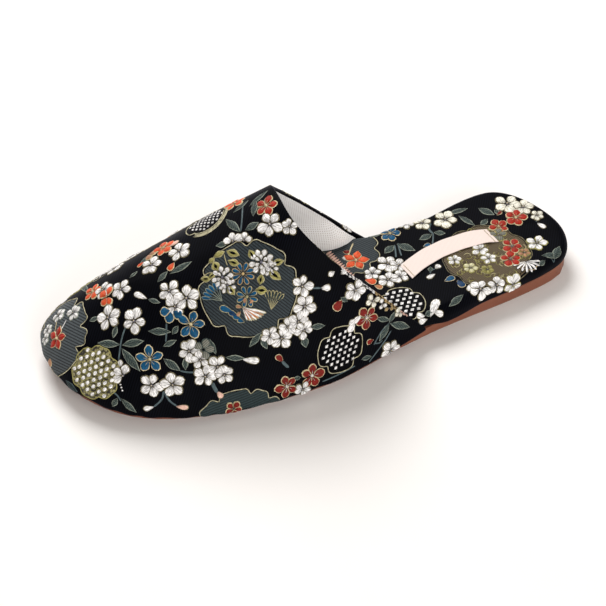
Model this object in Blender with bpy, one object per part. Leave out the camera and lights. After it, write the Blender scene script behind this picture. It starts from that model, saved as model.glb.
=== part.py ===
"""Left slipper of an embroidered pair: closed toe, open back, thin rubber sole.

A maker puts three pieces together: the moulded outsole, the padded footbed and the hollow vamp,
whose lasting margin is turned in between the other two.

Plan sizes are in millimetres from the heel end ("along"), and from the long axis towards the
outer side of the foot ("lateral") or the inner side ("medial"). In the model +X points to the
toe, +Y to the lateral side and +Z up, and the sole stands on z = 0.
"""

from collections import namedtuple

import bmesh
import bpy
import numpy as np

MM = 0.001
SHARP_ANGLE = 50.0
MERGE = 0.01 * MM

# Clearances and walls
SEAM_GAP = 0.3          # between pieces that touch
WALL = 1.8              # vamp: brocade, backing and lining together

# Plan of the last: how far the edge stands out on each side of the long axis
Station = namedtuple("Station", "along lateral medial")
HEEL_END = (0.0, 1.0)
TOE_TIP = (255.5, -7.0)
STATIONS = (
    Station(3.8, 15.4, 13.4),
    Station(12.0, 20.8, 27.0),
    Station(22.0, 23.8, 34.2),
    Station(38.0, 27.4, 33.6),
    Station(68.0, 32.8, 27.2),
    Station(100.0, 42.0, 31.0),
    Station(135.0, 51.0, 40.2),
    Station(170.0, 53.0, 43.6),
    Station(200.0, 50.3, 42.6),
    Station(228.0, 41.0, 37.2),
    Station(246.0, 25.0, 28.0),
    Station(253.2, 9.5, 19.2),
)

LENGTH = TOE_TIP[0] - HEEL_END[0]

# Heights along the shoe: (along, height)
SEAT_LINE = ((0, 7.6), (60, 6.4), (100, 5.4), (140, 4.4), (180, 4.0), (215, 5.0), (255, 8.0))
TREAD_LINE = ((0, 0.0), (62, 0.0), (100, 1.2), (136, 0.0), (204, 0.0), (230, 1.5), (255, 4.4))
INSTEP_RISE = ((60, 98.0), (84, 94.0), (110, 88.0), (144, 76.6), (165, 66.6), (185, 57.0),
               (205, 47.6), (225, 38.6), (240, 33.4), (255, 31.0))
BED_TOP = ((0, 7.6), (60, 8.6), (110, 10.0), (150, 9.2), (255, 6.8))   # above the outsole

# Vamp
THROAT_ALONG = 144.5    # middle of the mouth, on the ridge
RIDGE_END = 210.0       # front end of the ridge, where the toe cap begins to round
CROWN = 2.2             # larger is a flatter top
SHOULDER = ((60, 0.93), (185, 0.93), (240, 0.68), (255, 0.62))   # smaller is a fuller side
Wing = namedtuple("Wing", "foot sweep")   # where the edge meets the sole, and its bow
LATERAL_WING = Wing(84.0, 2.7)
MEDIAL_WING = Wing(87.5, 3.5)
TUCK_RADIUS = 2.6       # the cloth rolls under at the feather line
BULGE = 1.0             # and swells a little above it
BULGE_REACH = 14.0      # up to this height
MARGIN = 6.0            # lasting margin that lies on the outsole
VAMP_COLUMNS = 27       # per side, from the mouth to the toe
WALL_ROWS = 15
TUCK_ROWS = 3
MARGIN_ROWS = 2
DENSE = 161             # points worked out on a column before it is divided evenly

# Slabs
SLAB_COLUMNS = 48       # per side, heel end to toe tip
SPINE_HEEL = 30.0       # ends of the spine that the slabs' rings close on
SPINE_TOE = 212.0
TOE_ZONE = 75.0         # over this length at the toe the spine fans out to the edge
FACE_RING = 14.0        # extra ring on the outsole's flat faces
SOLE_INSET = ((0, 0.6), (25, 0.8), (60, 1.2), (90, 2.4), (255, 3.2))
SOLE_EDGE = 1.2         # rounding of the tread's edge
SOLE_LIP = 0.3          # small chamfer round the top
BED_INSET = ((0, 0.0), (77, 0.0), (83.5, 3.1), (110, 3.9), (150, 4.0), (215, 5.4), (255, 6.6))
BED_EDGE = 4.0          # soft upper edge
BED_FOOT = 1.5          # rounding of its lower edge
BED_DISH = 0.5          # hollow worn along its middle
BED_SLOPE = 11.0        # the hollow starts this far in
REBATE_START = 74.0     # the footbed's underside steps up over the lasting margin
REBATE_FULL = 82.0
REBATE_WIDTH = TUCK_RADIUS + MARGIN + 0.8
REBATE_STEP = 1.2       # plan width of the step down inside the margin


def profile(rows):
    """Smooth, never overshooting height or inset along the shoe, through (along, value) rows."""
    xs, ys = np.array(rows, float).T
    step = np.diff(xs)
    rise = np.diff(ys) / step
    slope = np.zeros(len(xs))
    slope[0], slope[-1] = rise[0], rise[-1]
    same_way = rise[:-1] * rise[1:] > 0
    slope[1:-1][same_way] = 2 / (1 / rise[:-1][same_way] + 1 / rise[1:][same_way])

    def value(x):
        x = np.clip(x, xs[0], xs[-1])
        k = np.clip(np.searchsorted(xs, x, side="right") - 1, 0, len(xs) - 2)
        t = (x - xs[k]) / step[k]
        return ((1 + 2 * t) * (1 - t) ** 2 * ys[k] + t * (1 - t) ** 2 * step[k] * slope[k]
                + t * t * (3 - 2 * t) * ys[k + 1] + t * t * (t - 1) * step[k] * slope[k + 1])

    return value


def closed_curve(points, per_span=60):
    """Dense closed curve through the points, with a tangent at each from its two neighbours."""
    p = np.array(points, float)
    ahead = np.roll(p, -1, axis=0)
    span = np.linalg.norm(ahead - p, axis=1)
    before = np.roll(span, 1)
    tangent = (ahead - np.roll(p, 1, axis=0)) / (span + before)[:, None]
    t = np.linspace(0, 1, per_span, endpoint=False)[None, :, None]
    s = span[:, None, None]
    run = ((1 + 2 * t) * (1 - t) ** 2 * p[:, None] + t * (1 - t) ** 2 * s * tangent[:, None]
           + t * t * (3 - 2 * t) * ahead[:, None]
           + t * t * (t - 1) * s * np.roll(tangent, -1, axis=0)[:, None])
    return run.reshape(-1, p.shape[1])


def evenly(run, count):
    """count + 1 points at equal steps of length along a run of points."""
    length = np.concatenate([[0], np.cumsum(np.linalg.norm(np.diff(run, axis=0), axis=1))])
    at = np.linspace(0, length[-1], count + 1)
    return np.stack([np.interp(at, length, axis) for axis in run.T], axis=-1)


class Last:
    """Plan of the shoe: its two edges, the spine between them and the heights along it."""

    def __init__(self):
        lateral = [(s.along, s.lateral) for s in STATIONS]
        medial = [(s.along, -s.medial) for s in reversed(STATIONS)]
        edge = closed_curve([HEEL_END, *lateral, TOE_TIP, *medial])
        toe = int(edge[:, 0].argmax())
        self.edges = {+1: edge[:toe + 1], -1: np.vstack([edge[toe:], edge[:1]])[::-1]}
        self.shift = (LENGTH / 2, (edge[:, 1].max() + edge[:, 1].min()) / 2)
        self.seat = profile(SEAT_LINE)
        self.tread = profile(TREAD_LINE)
        self.rise = profile(INSTEP_RISE)
        self.shoulder = profile(SHOULDER)

    def reach(self, side, x):
        run = self.edges[side]
        return np.interp(x, run[:, 0], run[:, 1])

    def middle(self, x):
        return (self.reach(+1, x) + self.reach(-1, x)) / 2

    def half_width(self, x):
        return (self.reach(+1, x) - self.reach(-1, x)) / 2

    def place(self, points):
        """From plan sizes to model space, in metres."""
        moved = np.array(points, float)
        moved[..., 0] -= self.shift[0]
        moved[..., 1] -= self.shift[1]
        return moved * MM


LAST = Last()


def build_object(name, vertices, faces, colour, roughness):
    """Mesh object in model space, with its faces outwards and its own material."""
    mesh = bpy.data.meshes.new(name)
    mesh.from_pydata([tuple(v) for v in LAST.place(vertices)], [], faces)
    bm = bmesh.new()
    bm.from_mesh(mesh)
    bmesh.ops.remove_doubles(bm, verts=bm.verts, dist=MERGE)
    bmesh.ops.recalc_face_normals(bm, faces=bm.faces)
    bm.to_mesh(mesh)
    bm.free()
    mesh.shade_smooth()
    mesh.set_sharp_from_angle(angle=np.radians(SHARP_ANGLE))
    obj = bpy.data.objects.new(name, mesh)
    bpy.context.scene.collection.objects.link(obj)
    material = bpy.data.materials.new(name)
    material.use_nodes = True
    shader = material.node_tree.nodes["Principled BSDF"]
    shader.inputs["Base Color"].default_value = (*colour, 1.0)
    shader.inputs["Roughness"].default_value = roughness
    shader.inputs["Metallic"].default_value = 0.0
    mesh.materials.append(material)
    return obj


# --- slabs: rings of points from the spine of the underside, over the edge, to the spine on top

def eased_spine(x):
    """Where the spine serves an edge point at x: level in the middle, fanned at both ends."""
    heel_zone, toe_start = 2 * SPINE_HEEL, LENGTH - TOE_ZONE
    heel = heel_zone - (heel_zone - SPINE_HEEL) * np.sin(np.pi / 2 * (heel_zone - x) / heel_zone)
    toe = toe_start + (SPINE_TOE - toe_start) * np.sin(np.pi / 2 * (x - toe_start) / TOE_ZONE)
    return np.where(x < heel_zone, heel, np.where(x > toe_start, toe, x))


def slab_plan():
    """Edge points of both sides and their shared spine points."""
    lateral = evenly(LAST.edges[+1], SLAB_COLUMNS)
    medial = evenly(LAST.edges[-1], SLAB_COLUMNS)
    spine_x = eased_spine((lateral[:, 0] + medial[:, 0]) / 2)
    spine = np.stack([spine_x, LAST.middle(spine_x)], axis=-1)
    loop_edge = np.vstack([lateral, medial[-2:0:-1]])
    loop_spine = np.vstack([spine, spine[-2:0:-1]])
    return loop_edge, loop_spine, spine


def slab(rings, under, over):
    """Vertices and faces of a slab.

    rings: (inset, height) functions of a plan point's x, from underside to top.
    under, over: height of the spine on the underside and on top.
    """
    edge, spine_at, spine = slab_plan()
    inward = spine_at - edge
    depth = np.linalg.norm(inward, axis=1)[:, None]
    around = len(edge)
    vertices = []
    for inset, height in rings:
        ring = edge + inward / depth * inset(edge[:, 0])[:, None]
        vertices.append(np.column_stack([ring, height(ring[:, 0])]))
    for height in (under, over):
        vertices.append(np.column_stack([spine, height(spine[:, 0])]))
    faces = []
    for k in range(len(rings) - 1):
        for i in range(around):
            j = (i + 1) % around
            faces.append((k * around + i, k * around + j, (k + 1) * around + j,
                          (k + 1) * around + i))
    for ring_start, cap_start in ((0, len(rings) * around),
                                  ((len(rings) - 1) * around, len(rings) * around + len(spine))):
        for i in range(around):
            j = (i + 1) % around
            a, b = (cap_start + min(n, around - n) for n in (i, j))
            face = [ring_start + i, ring_start + j, b, a]
            faces.append(tuple(dict.fromkeys(face)))
    return np.vstack(vertices), faces


def arc_ring(inset, height, radius, turn, foot):
    """Ring on a rounded edge: turn 0 is its outermost line, 90 lies on the flat above or below."""
    out = radius * (1 - np.cos(np.radians(turn)))
    up = radius * np.sin(np.radians(turn))
    lift = radius - up if foot else up - radius
    return (lambda x: inset(x) + out, lambda x: height(x) + lift)


def make_outsole():
    inset = profile(SOLE_INSET)
    tread, seat = LAST.tread, LAST.seat
    rings = [(lambda x: inset(x) + FACE_RING, tread)]
    rings += [arc_ring(inset, tread, SOLE_EDGE, turn, True) for turn in (90, 45, 0)]
    rings += [(inset, lambda x: seat(x) - SOLE_LIP), (lambda x: inset(x) + SOLE_LIP, seat),
              (lambda x: inset(x) + FACE_RING, seat)]
    vertices, faces = slab(rings, tread, seat)
    return build_object("outsole", vertices, faces, (0.30, 0.13, 0.06), 0.6)


def make_footbed():
    inset = profile(BED_INSET)
    bed_top = profile(BED_TOP)
    rebate_rise = WALL + SEAM_GAP

    def rebate(x):
        t = np.clip((x - REBATE_START) / (REBATE_FULL - REBATE_START), 0, 1)
        return rebate_rise * t * t * (3 - 2 * t)

    def underside(x):
        return LAST.seat(x) + SEAM_GAP

    def foot(x):
        return underside(x) + rebate(x)

    def top(x):
        return underside(x) + bed_top(x)

    rings = [(lambda x: REBATE_WIDTH + REBATE_STEP + 0 * x, underside),
             (lambda x: REBATE_WIDTH + 0 * x, foot)]
    rings += [arc_ring(inset, foot, BED_FOOT, turn, True) for turn in (90, 45, 0)]
    rings += [arc_ring(inset, top, BED_EDGE, turn, False) for turn in (0, 22, 45, 68, 90)]
    rings += [(lambda x: inset(x) + BED_SLOPE, lambda x: top(x) - 0.5 * BED_DISH)]
    vertices, faces = slab(rings, underside, lambda x: top(x) - BED_DISH)
    return build_object("footbed", vertices, faces, (0.02, 0.02, 0.03), 0.5)


# --- vamp: columns from the lasting margin up to the ridge, between the mouth and the toe

def vamp_columns(side):
    """Outer face of one side, as columns of points from the margin's inner edge to the ridge."""
    wing = LATERAL_WING if side > 0 else MEDIAL_WING
    run = LAST.edges[side]
    covered = run[run[:, 0] > wing.foot]
    start = (wing.foot, LAST.reach(side, wing.foot))
    foot = evenly(np.vstack([start, covered]), VAMP_COLUMNS)
    v = np.linspace(0, 1, VAMP_COLUMNS + 1)
    ridge_x = THROAT_ALONG + (RIDGE_END - THROAT_ALONG) * (1 - (1 - v) ** 1.5)
    ridge = np.stack([ridge_x, LAST.middle(ridge_x)], axis=-1)

    rho = np.linspace(0, 1, DENSE)[:, None]
    mouth_x = THROAT_ALONG - (THROAT_ALONG - wing.foot) * rho ** wing.sweep
    mouth_y = LAST.middle(mouth_x) + side * rho * LAST.half_width(mouth_x)
    bow = np.hstack([mouth_x, mouth_y]) - (ridge[0] + (foot[0] - ridge[0]) * rho)

    columns = []
    for i in range(VAMP_COLUMNS + 1):
        plan = ridge[i] + (foot[i] - ridge[i]) * rho + bow * (1 - v[i]) ** 2
        dome = (1 - rho[:, 0] ** CROWN) ** LAST.shoulder(plan[:, 0])
        z = LAST.seat(plan[:, 0]) + SEAM_GAP + LAST.rise(plan[:, 0]) * dome
        inward = (ridge[i] - foot[i]) / np.linalg.norm(ridge[i] - foot[i])
        columns.append(vamp_column(plan[::-1], z[::-1], inward))
    return columns


def vamp_column(plan, z, inward):
    """Points of one column: margin, rolled tuck and wall, each at even steps."""
    height = z - (LAST.seat(plan[:, 0]) + SEAM_GAP)
    low = np.clip(TUCK_RADIUS - height, 0, TUCK_RADIUS)
    tuck = TUCK_RADIUS - np.sqrt(TUCK_RADIUS ** 2 - low ** 2)
    swell = BULGE * (1 - np.clip(height / BULGE_REACH, 0, 1) ** 2) ** 2
    rolled = plan + inward * (tuck - swell)[:, None]
    run = np.column_stack([rolled, z])
    turn = int(np.argmax(height >= TUCK_RADIUS))
    margin_end = np.append(rolled[0] + inward * MARGIN, 0.0)
    margin_end[2] = LAST.seat(margin_end[0]) + SEAM_GAP
    margin = evenly(np.vstack([margin_end, run[0]]), MARGIN_ROWS)
    return np.vstack([margin, evenly(run[:turn + 1], TUCK_ROWS)[1:],
                      evenly(run[turn:], WALL_ROWS)[1:]])


def make_upper():
    sides = [vamp_columns(+1), vamp_columns(-1)]
    columns = sides[0] + sides[1][-2::-1]
    rows = len(columns[0])
    vertices = np.vstack(columns)
    faces = []
    for i in range(len(columns) - 1):
        for k in range(rows - 1):
            a, b = i * rows + k, (i + 1) * rows + k
            faces.append((a, b, b + 1, a + 1))
    obj = build_object("upper", vertices, faces, (0.02, 0.02, 0.03), 0.5)
    wall = obj.modifiers.new("wall", "SOLIDIFY")
    wall.thickness = WALL * MM
    wall.offset = -1.0
    wall.use_even_offset = True
    wall.use_rim = True
    return obj


def main():
    for obj in list(bpy.data.objects):
        bpy.data.objects.remove(obj, do_unlink=True)
    make_outsole()
    make_footbed()
    make_upper()


main()
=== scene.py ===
"""A brocade slipper for the left foot: the looks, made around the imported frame."""

import math
import random

import bmesh
import bpy
from mathutils import Matrix, Vector
from mathutils.bvhtree import BVHTree


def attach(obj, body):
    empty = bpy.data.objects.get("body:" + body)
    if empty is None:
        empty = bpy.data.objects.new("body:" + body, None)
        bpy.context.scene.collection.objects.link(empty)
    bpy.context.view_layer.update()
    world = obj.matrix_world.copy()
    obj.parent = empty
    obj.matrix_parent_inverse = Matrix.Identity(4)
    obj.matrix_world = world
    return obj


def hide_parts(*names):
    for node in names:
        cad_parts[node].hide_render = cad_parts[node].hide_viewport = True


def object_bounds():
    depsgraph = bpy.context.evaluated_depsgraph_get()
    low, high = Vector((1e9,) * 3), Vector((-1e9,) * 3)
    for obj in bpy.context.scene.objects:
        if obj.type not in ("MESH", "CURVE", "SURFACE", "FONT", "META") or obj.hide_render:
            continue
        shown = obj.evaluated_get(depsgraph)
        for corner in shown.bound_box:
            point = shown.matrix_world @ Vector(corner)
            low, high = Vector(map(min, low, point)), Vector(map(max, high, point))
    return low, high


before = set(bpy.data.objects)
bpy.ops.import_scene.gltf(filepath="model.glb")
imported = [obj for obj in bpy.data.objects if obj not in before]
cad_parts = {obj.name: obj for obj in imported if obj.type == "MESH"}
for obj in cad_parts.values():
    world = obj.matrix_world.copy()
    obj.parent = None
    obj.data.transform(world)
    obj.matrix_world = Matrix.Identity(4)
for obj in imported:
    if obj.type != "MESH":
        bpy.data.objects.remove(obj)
cad_box = [list(corner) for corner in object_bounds()]

MM = 0.001
HEEL_X = cad_box[0][0]
TOE_X = cad_box[1][0]

# --- heights of the woven layers above the satin, in mm ---
SUNK = -0.06
GROUND_LIFT = 0.07
LINE_LIFT = 0.15
LEAF_LIFT = 0.14
EDGE_LIFT = 0.13
PETAL_LIFT = 0.25
HEART_LIFT = 0.34
OVER_ROUNDEL = 0.09

STEP = 1.5 * MM          # one pace along the cloth
HAND_SLIP = 0.09         # how far a point of a form strays, in mm
GROUND_RINGS = 15
GROUND_SPOKES = 96

dice = random.Random(11)


# ---------------------------------------------------------------- hand tools

def put_down():
    if bpy.context.mode != "OBJECT":
        bpy.ops.object.mode_set(mode="OBJECT")
    bpy.ops.object.select_all(action="DESELECT")


def pick_up(piece):
    put_down()
    piece.select_set(True)
    bpy.context.view_layer.objects.active = piece


def into_edit(piece, choose="VERT"):
    pick_up(piece)
    bpy.ops.object.mode_set(mode="EDIT")
    bpy.ops.mesh.select_mode(type=choose)


def choose_faces(piece, wanted):
    bpy.ops.object.mode_set(mode="EDIT")
    bpy.ops.mesh.select_mode(type="FACE")
    bpy.ops.mesh.select_all(action="DESELECT")
    bpy.ops.object.mode_set(mode="OBJECT")
    for face in piece.data.polygons:
        face.select = bool(wanted(face))
    bpy.ops.object.mode_set(mode="EDIT")


def work_in(piece, kind, **settings):
    """Adds a modifier and applies it."""
    pick_up(piece)
    modifier = piece.modifiers.new(kind.lower(), kind)
    for name, value in settings.items():
        setattr(modifier, name, value)
    bpy.ops.object.modifier_apply(modifier=modifier.name)


def smooth_off(piece, levels):
    work_in(piece, "SUBSURF", levels=levels, render_levels=levels)
    pick_up(piece)
    bpy.ops.object.shade_smooth()


def copy_of(node, name):
    """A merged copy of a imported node's loose triangles, turned back into quads."""
    piece = bpy.data.objects.new(name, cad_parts[node].data.copy())
    bpy.context.scene.collection.objects.link(piece)
    piece.data.materials.clear()
    into_edit(piece)
    bpy.ops.mesh.customdata_custom_splitnormals_clear()
    bpy.ops.mesh.select_all(action="SELECT")
    bpy.ops.mesh.remove_doubles(threshold=0.00001)
    bpy.ops.mesh.tris_convert_to_quads(face_threshold=0.7, shape_threshold=0.7)
    put_down()
    return piece


def finish_piece(piece, material, stands_for=None):
    piece.data.materials.clear()
    piece.data.materials.append(material)
    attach(piece, "root")
    if stands_for:
        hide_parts(stands_for)


# ------------------------------------------------------------ the base pieces

WALL_SOFTEN = 0.55 * MM
BAND_WIDTH = 0.7 * MM
LINING_STANDS_OFF = 0.3 * MM
LINING_FOOT = 9.5 * MM
LINING_TUCK = 8.6 * MM
LINING_FORWARD = 2.2 * MM
PUCKER = 0.22
WAVE = 0.16
HEM_DROP = 1.2 * MM
HEM_OUT = 0.5 * MM
FAN_X = HEEL_X + 205 * MM


def hub_of(point):
    """The point inside the foot that a stretch of the vamp goes round."""
    return Vector((min(point.x, FAN_X), 0.0, 0.012))


def faces_in(face):
    """True where a face of the vamp's shell looks in at the foot."""
    outward = (face.center - hub_of(face.center)).normalized()
    return face.normal.dot(outward) < -0.25


def eased(value, low, high):
    """0 below low, 1 above high, and smooth between; low may be the larger."""
    t = min(max((value - low) / (high - low), 0.0), 1.0)
    return t * t * (3 - 2 * t)


def make_vamp():
    """The vamp's cover: softened edges, puckers by the sole and slow waves above."""
    vamp = copy_of("upper", "vamp_brocade")
    into_edit(vamp, "EDGE")
    bpy.ops.mesh.select_all(action="DESELECT")
    bpy.ops.mesh.edges_select_sharp(sharpness=math.radians(60))
    bpy.ops.mesh.bevel(offset=WALL_SOFTEN, segments=2, profile=0.6)
    smooth_off(vamp, 2)
    # puckers where the cloth is drawn in to the sole, and slow waves above them
    normals = [vertex.normal.copy() for vertex in vamp.data.vertices]
    for vertex, normal in zip(vamp.data.vertices, normals):
        point = vertex.co / MM
        round_toe = math.atan2(point.y, point.x - 60) * 60
        low = eased(point.z, 24, 9) * eased(point.x, -60, -20)
        pucker = PUCKER * math.sin(round_toe / 2.1 + 1.3 * math.sin(round_toe / 7)) * low
        wave = WAVE * math.sin(point.x / 9 + point.y / 13) * math.sin(point.z / 11 + point.x / 23)
        vertex.co += normal * ((pucker + wave) * MM)
        # the hem hangs a little over the sole on the outer side
        hang = eased(point.z, 13, 8) * eased(point.x, -45, -10)
        hang *= eased(point.x, 125, 95) * eased(point.y, 12, 34)
        vertex.co.z -= HEM_DROP * hang
        vertex.co.y += HEM_OUT * hang
    return vamp


def make_lining():
    """The net lining: the shell's inner faces, stopped short of the turned edge."""
    lining = copy_of("upper", "vamp_lining")
    choose_faces(lining, lambda face: not faces_in(face))
    bpy.ops.mesh.delete(type="FACE")
    put_down()
    mesh = lining.data
    uses = {}
    for face in mesh.polygons:
        for key in face.edge_keys:
            uses[key] = uses.get(key, 0) + 1
    border = {v for key, count in uses.items() if count == 1 for v in key}
    neighbours = {}
    for one, other in uses:
        neighbours.setdefault(one, []).append(other)
        neighbours.setdefault(other, []).append(one)
    moves = {}
    for v in border:
        inner = [mesh.vertices[n].co for n in neighbours[v] if n not in border]
        if inner and mesh.vertices[v].co.z > LINING_FOOT:
            way = sum(inner, Vector()) / len(inner) - mesh.vertices[v].co
            moves[v] = way.normalized() * min(BAND_WIDTH, way.length * 0.8)
    for v, move in moves.items():
        mesh.vertices[v].co += move
    normals = [vertex.normal.copy() for vertex in mesh.vertices]
    for vertex, normal in zip(mesh.vertices, normals):
        vertex.co += normal * LINING_STANDS_OFF
    smooth_off(lining, 2)
    # the inner wall curves in over the pad's edge
    for vertex in lining.data.vertices:
        point = vertex.co / MM
        along = point.x - HEEL_X / MM
        if point.y < 0:
            crest = 22.0 + 1.02 * max(along - 96.0, 0.0)
            push = eased(along, 86, 112) * eased(along, 195, 140)
            push *= eased(point.z, 31, 15) * eased(point.z, crest - 3, crest - 12)
            vertex.co.y += LINING_TUCK * push
        # its rear corners are drawn forward, in front of the turned edge
        vertex.co.x += LINING_FORWARD * eased(along, 98, 90) * eased(point.z, 22, 14)
    return lining


FOLDS = (
    # soft troughs in the pad: from and to (along, across), half width and depth, all in mm
    ((27.0, -12.0), (11.0, -8.6), 2.2, 0.34), ((18.0, 6.0), (7.0, 12.0), 2.6, 0.22),
    ((92.0, -30.0), (84.0, -22.0), 2.6, 0.20), ((70.0, 33.0), (58.0, 30.0), 2.4, 0.24),
)


def make_footbed():
    """The padded footbed: its cover swells over the sole at the heel and dips in soft folds."""
    bed = copy_of("footbed", "footbed_pad")
    smooth_off(bed, 2)
    smooth_off(bed, 1)
    for vertex in bed.data.vertices:
        point = vertex.co / MM
        along = point.x - HEEL_X / MM
        high = eased(point.z, 7.5, 12.0)
        heel = eased(along, 62, 16)
        inner = eased(point.y, 26, -6)
        away = Vector((along - 46, point.y, 0)).normalized()
        swell = away * (1.3 * heel * high * (0.25 + 0.75 * inner))
        swell.z = 0.8 * heel * high * inner * eased(point.y, 8, -20)
        stitch = math.atan2(point.y, along - 60) * 46
        gather = math.sin(stitch / 1.9 + math.sin(stitch / 5))
        swell += away * (0.16 * gather * eased(point.z, 14.5, 9.5) * heel)
        side = eased(along, 50, 68) * eased(along, 118, 96) * eased(point.y, 12, 26)
        swell.y += 1.7 * side * eased(point.z, 14.6, 11.0)
        for (ax, ay), (bx, by), reach, depth in FOLDS:
            run = Vector((bx - ax, by - ay))
            t = Vector((along - ax, point.y - ay)).dot(run) / run.length_squared
            off = Vector((along - ax, point.y - ay)) - run * min(max(t, 0.0), 1.0)
            swell.z -= depth * math.exp(-(off.length / reach) ** 2) * high
        vertex.co += swell * MM
    pick_up(bed)
    bpy.ops.object.shade_smooth()
    return bed


GROOVE_PITCH = 6.0
GROOVE_WIDE = 1.3
GROOVE_DEEP = 0.8
TREAD_BORDER = 6.0
FIRST_GROOVE = 9.0


def in_a_groove(point):
    """True between the two cuts of a groove, by a place in mm from the heel end."""
    turn = (point.x / MM - HEEL_X / MM - FIRST_GROOVE) % GROOVE_PITCH
    return turn < GROOVE_WIDE


def fix_order(piece):
    """Sorts a mesh by place, because extruding the grooves leaves a new order on each run."""
    form = bmesh.new()
    form.from_mesh(piece.data)
    for parts, key in ((form.verts, lambda vert: tuple(vert.co)),
                       (form.edges, lambda edge: sorted(vert.index for vert in edge.verts)),
                       (form.faces, lambda face: sorted(vert.index for vert in face.verts))):
        for index, part in enumerate(sorted(parts, key=key)):
            part.index = index
        parts.sort()
    form.to_mesh(piece.data)
    form.free()


def cut_tread(sole):
    """Cross grooves in the sole's underside, inside a plain border."""
    points = [vertex.co.copy() for vertex in sole.data.vertices]
    underside = BVHTree.FromPolygons(points, [face.vertices[:] for face in sole.data.polygons])
    sole.data.materials.append(bpy.data.materials.new("border_mark"))
    sole.data.materials.append(bpy.data.materials.new("tread_mark"))
    choose_faces(sole, lambda face: face.normal.z < -0.95)
    bpy.ops.mesh.inset(thickness=TREAD_BORDER * MM, depth=0.0, use_even_offset=False)
    bpy.ops.object.mode_set(mode="OBJECT")
    for face in sole.data.polygons:
        face.material_index = 1 if face.select else 0
        for index in face.vertices if face.select else ():
            place = sole.data.vertices[index].co
            found = underside.ray_cast(Vector((place.x, place.y, -0.05)), Vector((0, 0, 1)))[0]
            if found is not None:
                place.z = found.z
    length = (TOE_X - HEEL_X) / MM
    cuts = []
    start = FIRST_GROOVE
    while start < length:
        cuts += [start, start + GROOVE_WIDE]
        start += GROOVE_PITCH
    for cut in cuts:
        choose_faces(sole, lambda face: face.material_index == 1)
        place = (HEEL_X + cut * MM, 0, 0)
        bpy.ops.mesh.bisect(plane_co=place, plane_no=(1, 0, 0))
        bpy.ops.object.mode_set(mode="OBJECT")
    choose_faces(sole, lambda face: face.material_index == 1 and in_a_groove(face.center))
    bpy.ops.mesh.extrude_region_move(TRANSFORM_OT_translate={"value": (0, 0, GROOVE_DEEP * MM)})
    put_down()
    for face in sole.data.polygons:
        face.material_index = 0
    fix_order(sole)


def make_outsole():
    sole = copy_of("outsole", "sole_rubber")
    into_edit(sole, "EDGE")
    bpy.ops.mesh.select_all(action="DESELECT")
    bpy.ops.mesh.edges_select_sharp(sharpness=math.radians(50))
    bpy.ops.mesh.bevel(offset=0.5 * MM, segments=2, profile=0.6)
    put_down()
    cut_tread(sole)
    pick_up(sole)
    bpy.ops.object.shade_smooth_by_angle(angle=math.radians(35))
    return sole


# ------------------------------------------------------------- cloth and chart

class Cloth:
    """A surface that threads are laid on, with a name for the pieces they become."""

    def __init__(self, name, piece):
        self.name = name
        self.tree = BVHTree.FromObject(piece, bpy.context.evaluated_depsgraph_get())
        self.threads = {}

    def thread(self, colour):
        return self.threads.setdefault(colour, {"points": [], "faces": [], "flat": [], "tone": []})

    def spot(self, chart, along, other):
        """So far from the heel end, and across the middle (top) or up from the floor (outer, inner)."""
        x = HEEL_X + along * MM
        side = {"top": 0, "outer": 1, "inner": -1}[chart]
        if side == 0:
            start = Vector((x, other * MM, 0.3))
            aim = Vector((0, 0, -1))
            near = Vector((x, other * MM, 0.02))
        else:
            start = Vector((x, side * 0.3, other * MM))
            aim = Vector((0, -side, 0))
            near = Vector((x, side * 0.05, other * MM))
        point, normal = self.tree.ray_cast(start, aim)[:2]
        if point is None or (side and point.y * side < -0.02):
            point, normal = self.tree.find_nearest(near)[:2]
        return point, normal

    def place(self, chart, along, other, turn=0.0):
        """A spot with a heading: turn 0 points to the toe, 90 down the outer side."""
        point, normal = self.spot(chart, along, other)
        toe = Vector((1, 0, 0))
        ahead = (toe - normal * toe.dot(normal)).normalized()
        return Place(self, point, normal, Matrix.Rotation(math.radians(turn), 3, normal) @ ahead)

    def toward(self, start, end):
        """A place at start that heads for end, and the distance between them in mm."""
        a, normal = self.spot(*start)
        b = self.spot(*end)[0]
        way = b - a
        flat = (way - normal * way.dot(normal)).normalized()
        return Place(self, a, normal, flat), way.length / MM


class Place:
    """A point on a cloth with its own two directions: ahead, and to the left of that."""

    def __init__(self, cloth, point, normal, ahead):
        self.cloth = cloth
        self.point = point
        self.normal = normal
        self.ahead = ahead
        self.left = normal.cross(ahead)

    def reach(self, a, b, lift):
        """The point a mm ahead and b mm to the left along the cloth, lifted off it."""
        far = math.hypot(a, b) * MM
        point = self.point
        normal = self.normal
        if far > 1e-7:
            way = (self.ahead * a + self.left * b) * (MM / far)
            steps = max(1, math.ceil(far / STEP))
            pace = far / steps
            for _ in range(steps):
                found, facing = self.cloth.tree.find_nearest(point + way * pace)[:2]
                if (found - point).length < 0.25 * pace:
                    break
                point = found
                normal = facing
                way = way - facing * way.dot(facing)
                if way.length < 0.35:
                    break
                way.normalize()
        return point + normal * (lift * MM)

    def turned(self, angle, a=0.0, b=0.0):
        """The place a ahead and b left of this one, turned by an angle."""
        point = self.reach(a, b, 0.0)
        found, normal = self.cloth.tree.find_nearest(point)[:2]
        ahead = (self.ahead - normal * self.ahead.dot(normal)).normalized()
        return Place(self.cloth, found, normal, Matrix.Rotation(math.radians(angle), 3, normal) @ ahead)


def swing(a, b, turn, at=(0.0, 0.0)):
    """The flat point a ahead and b to the left of at, with ahead turned by so many degrees."""
    cos = math.cos(math.radians(turn))
    sin = math.sin(math.radians(turn))
    return at[0] + a * cos - b * sin, at[1] + a * sin + b * cos


def stitch(thread, point, flat, tone):
    thread["points"].append(point)
    thread["flat"].append(flat)
    thread["tone"].append(tone)


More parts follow.
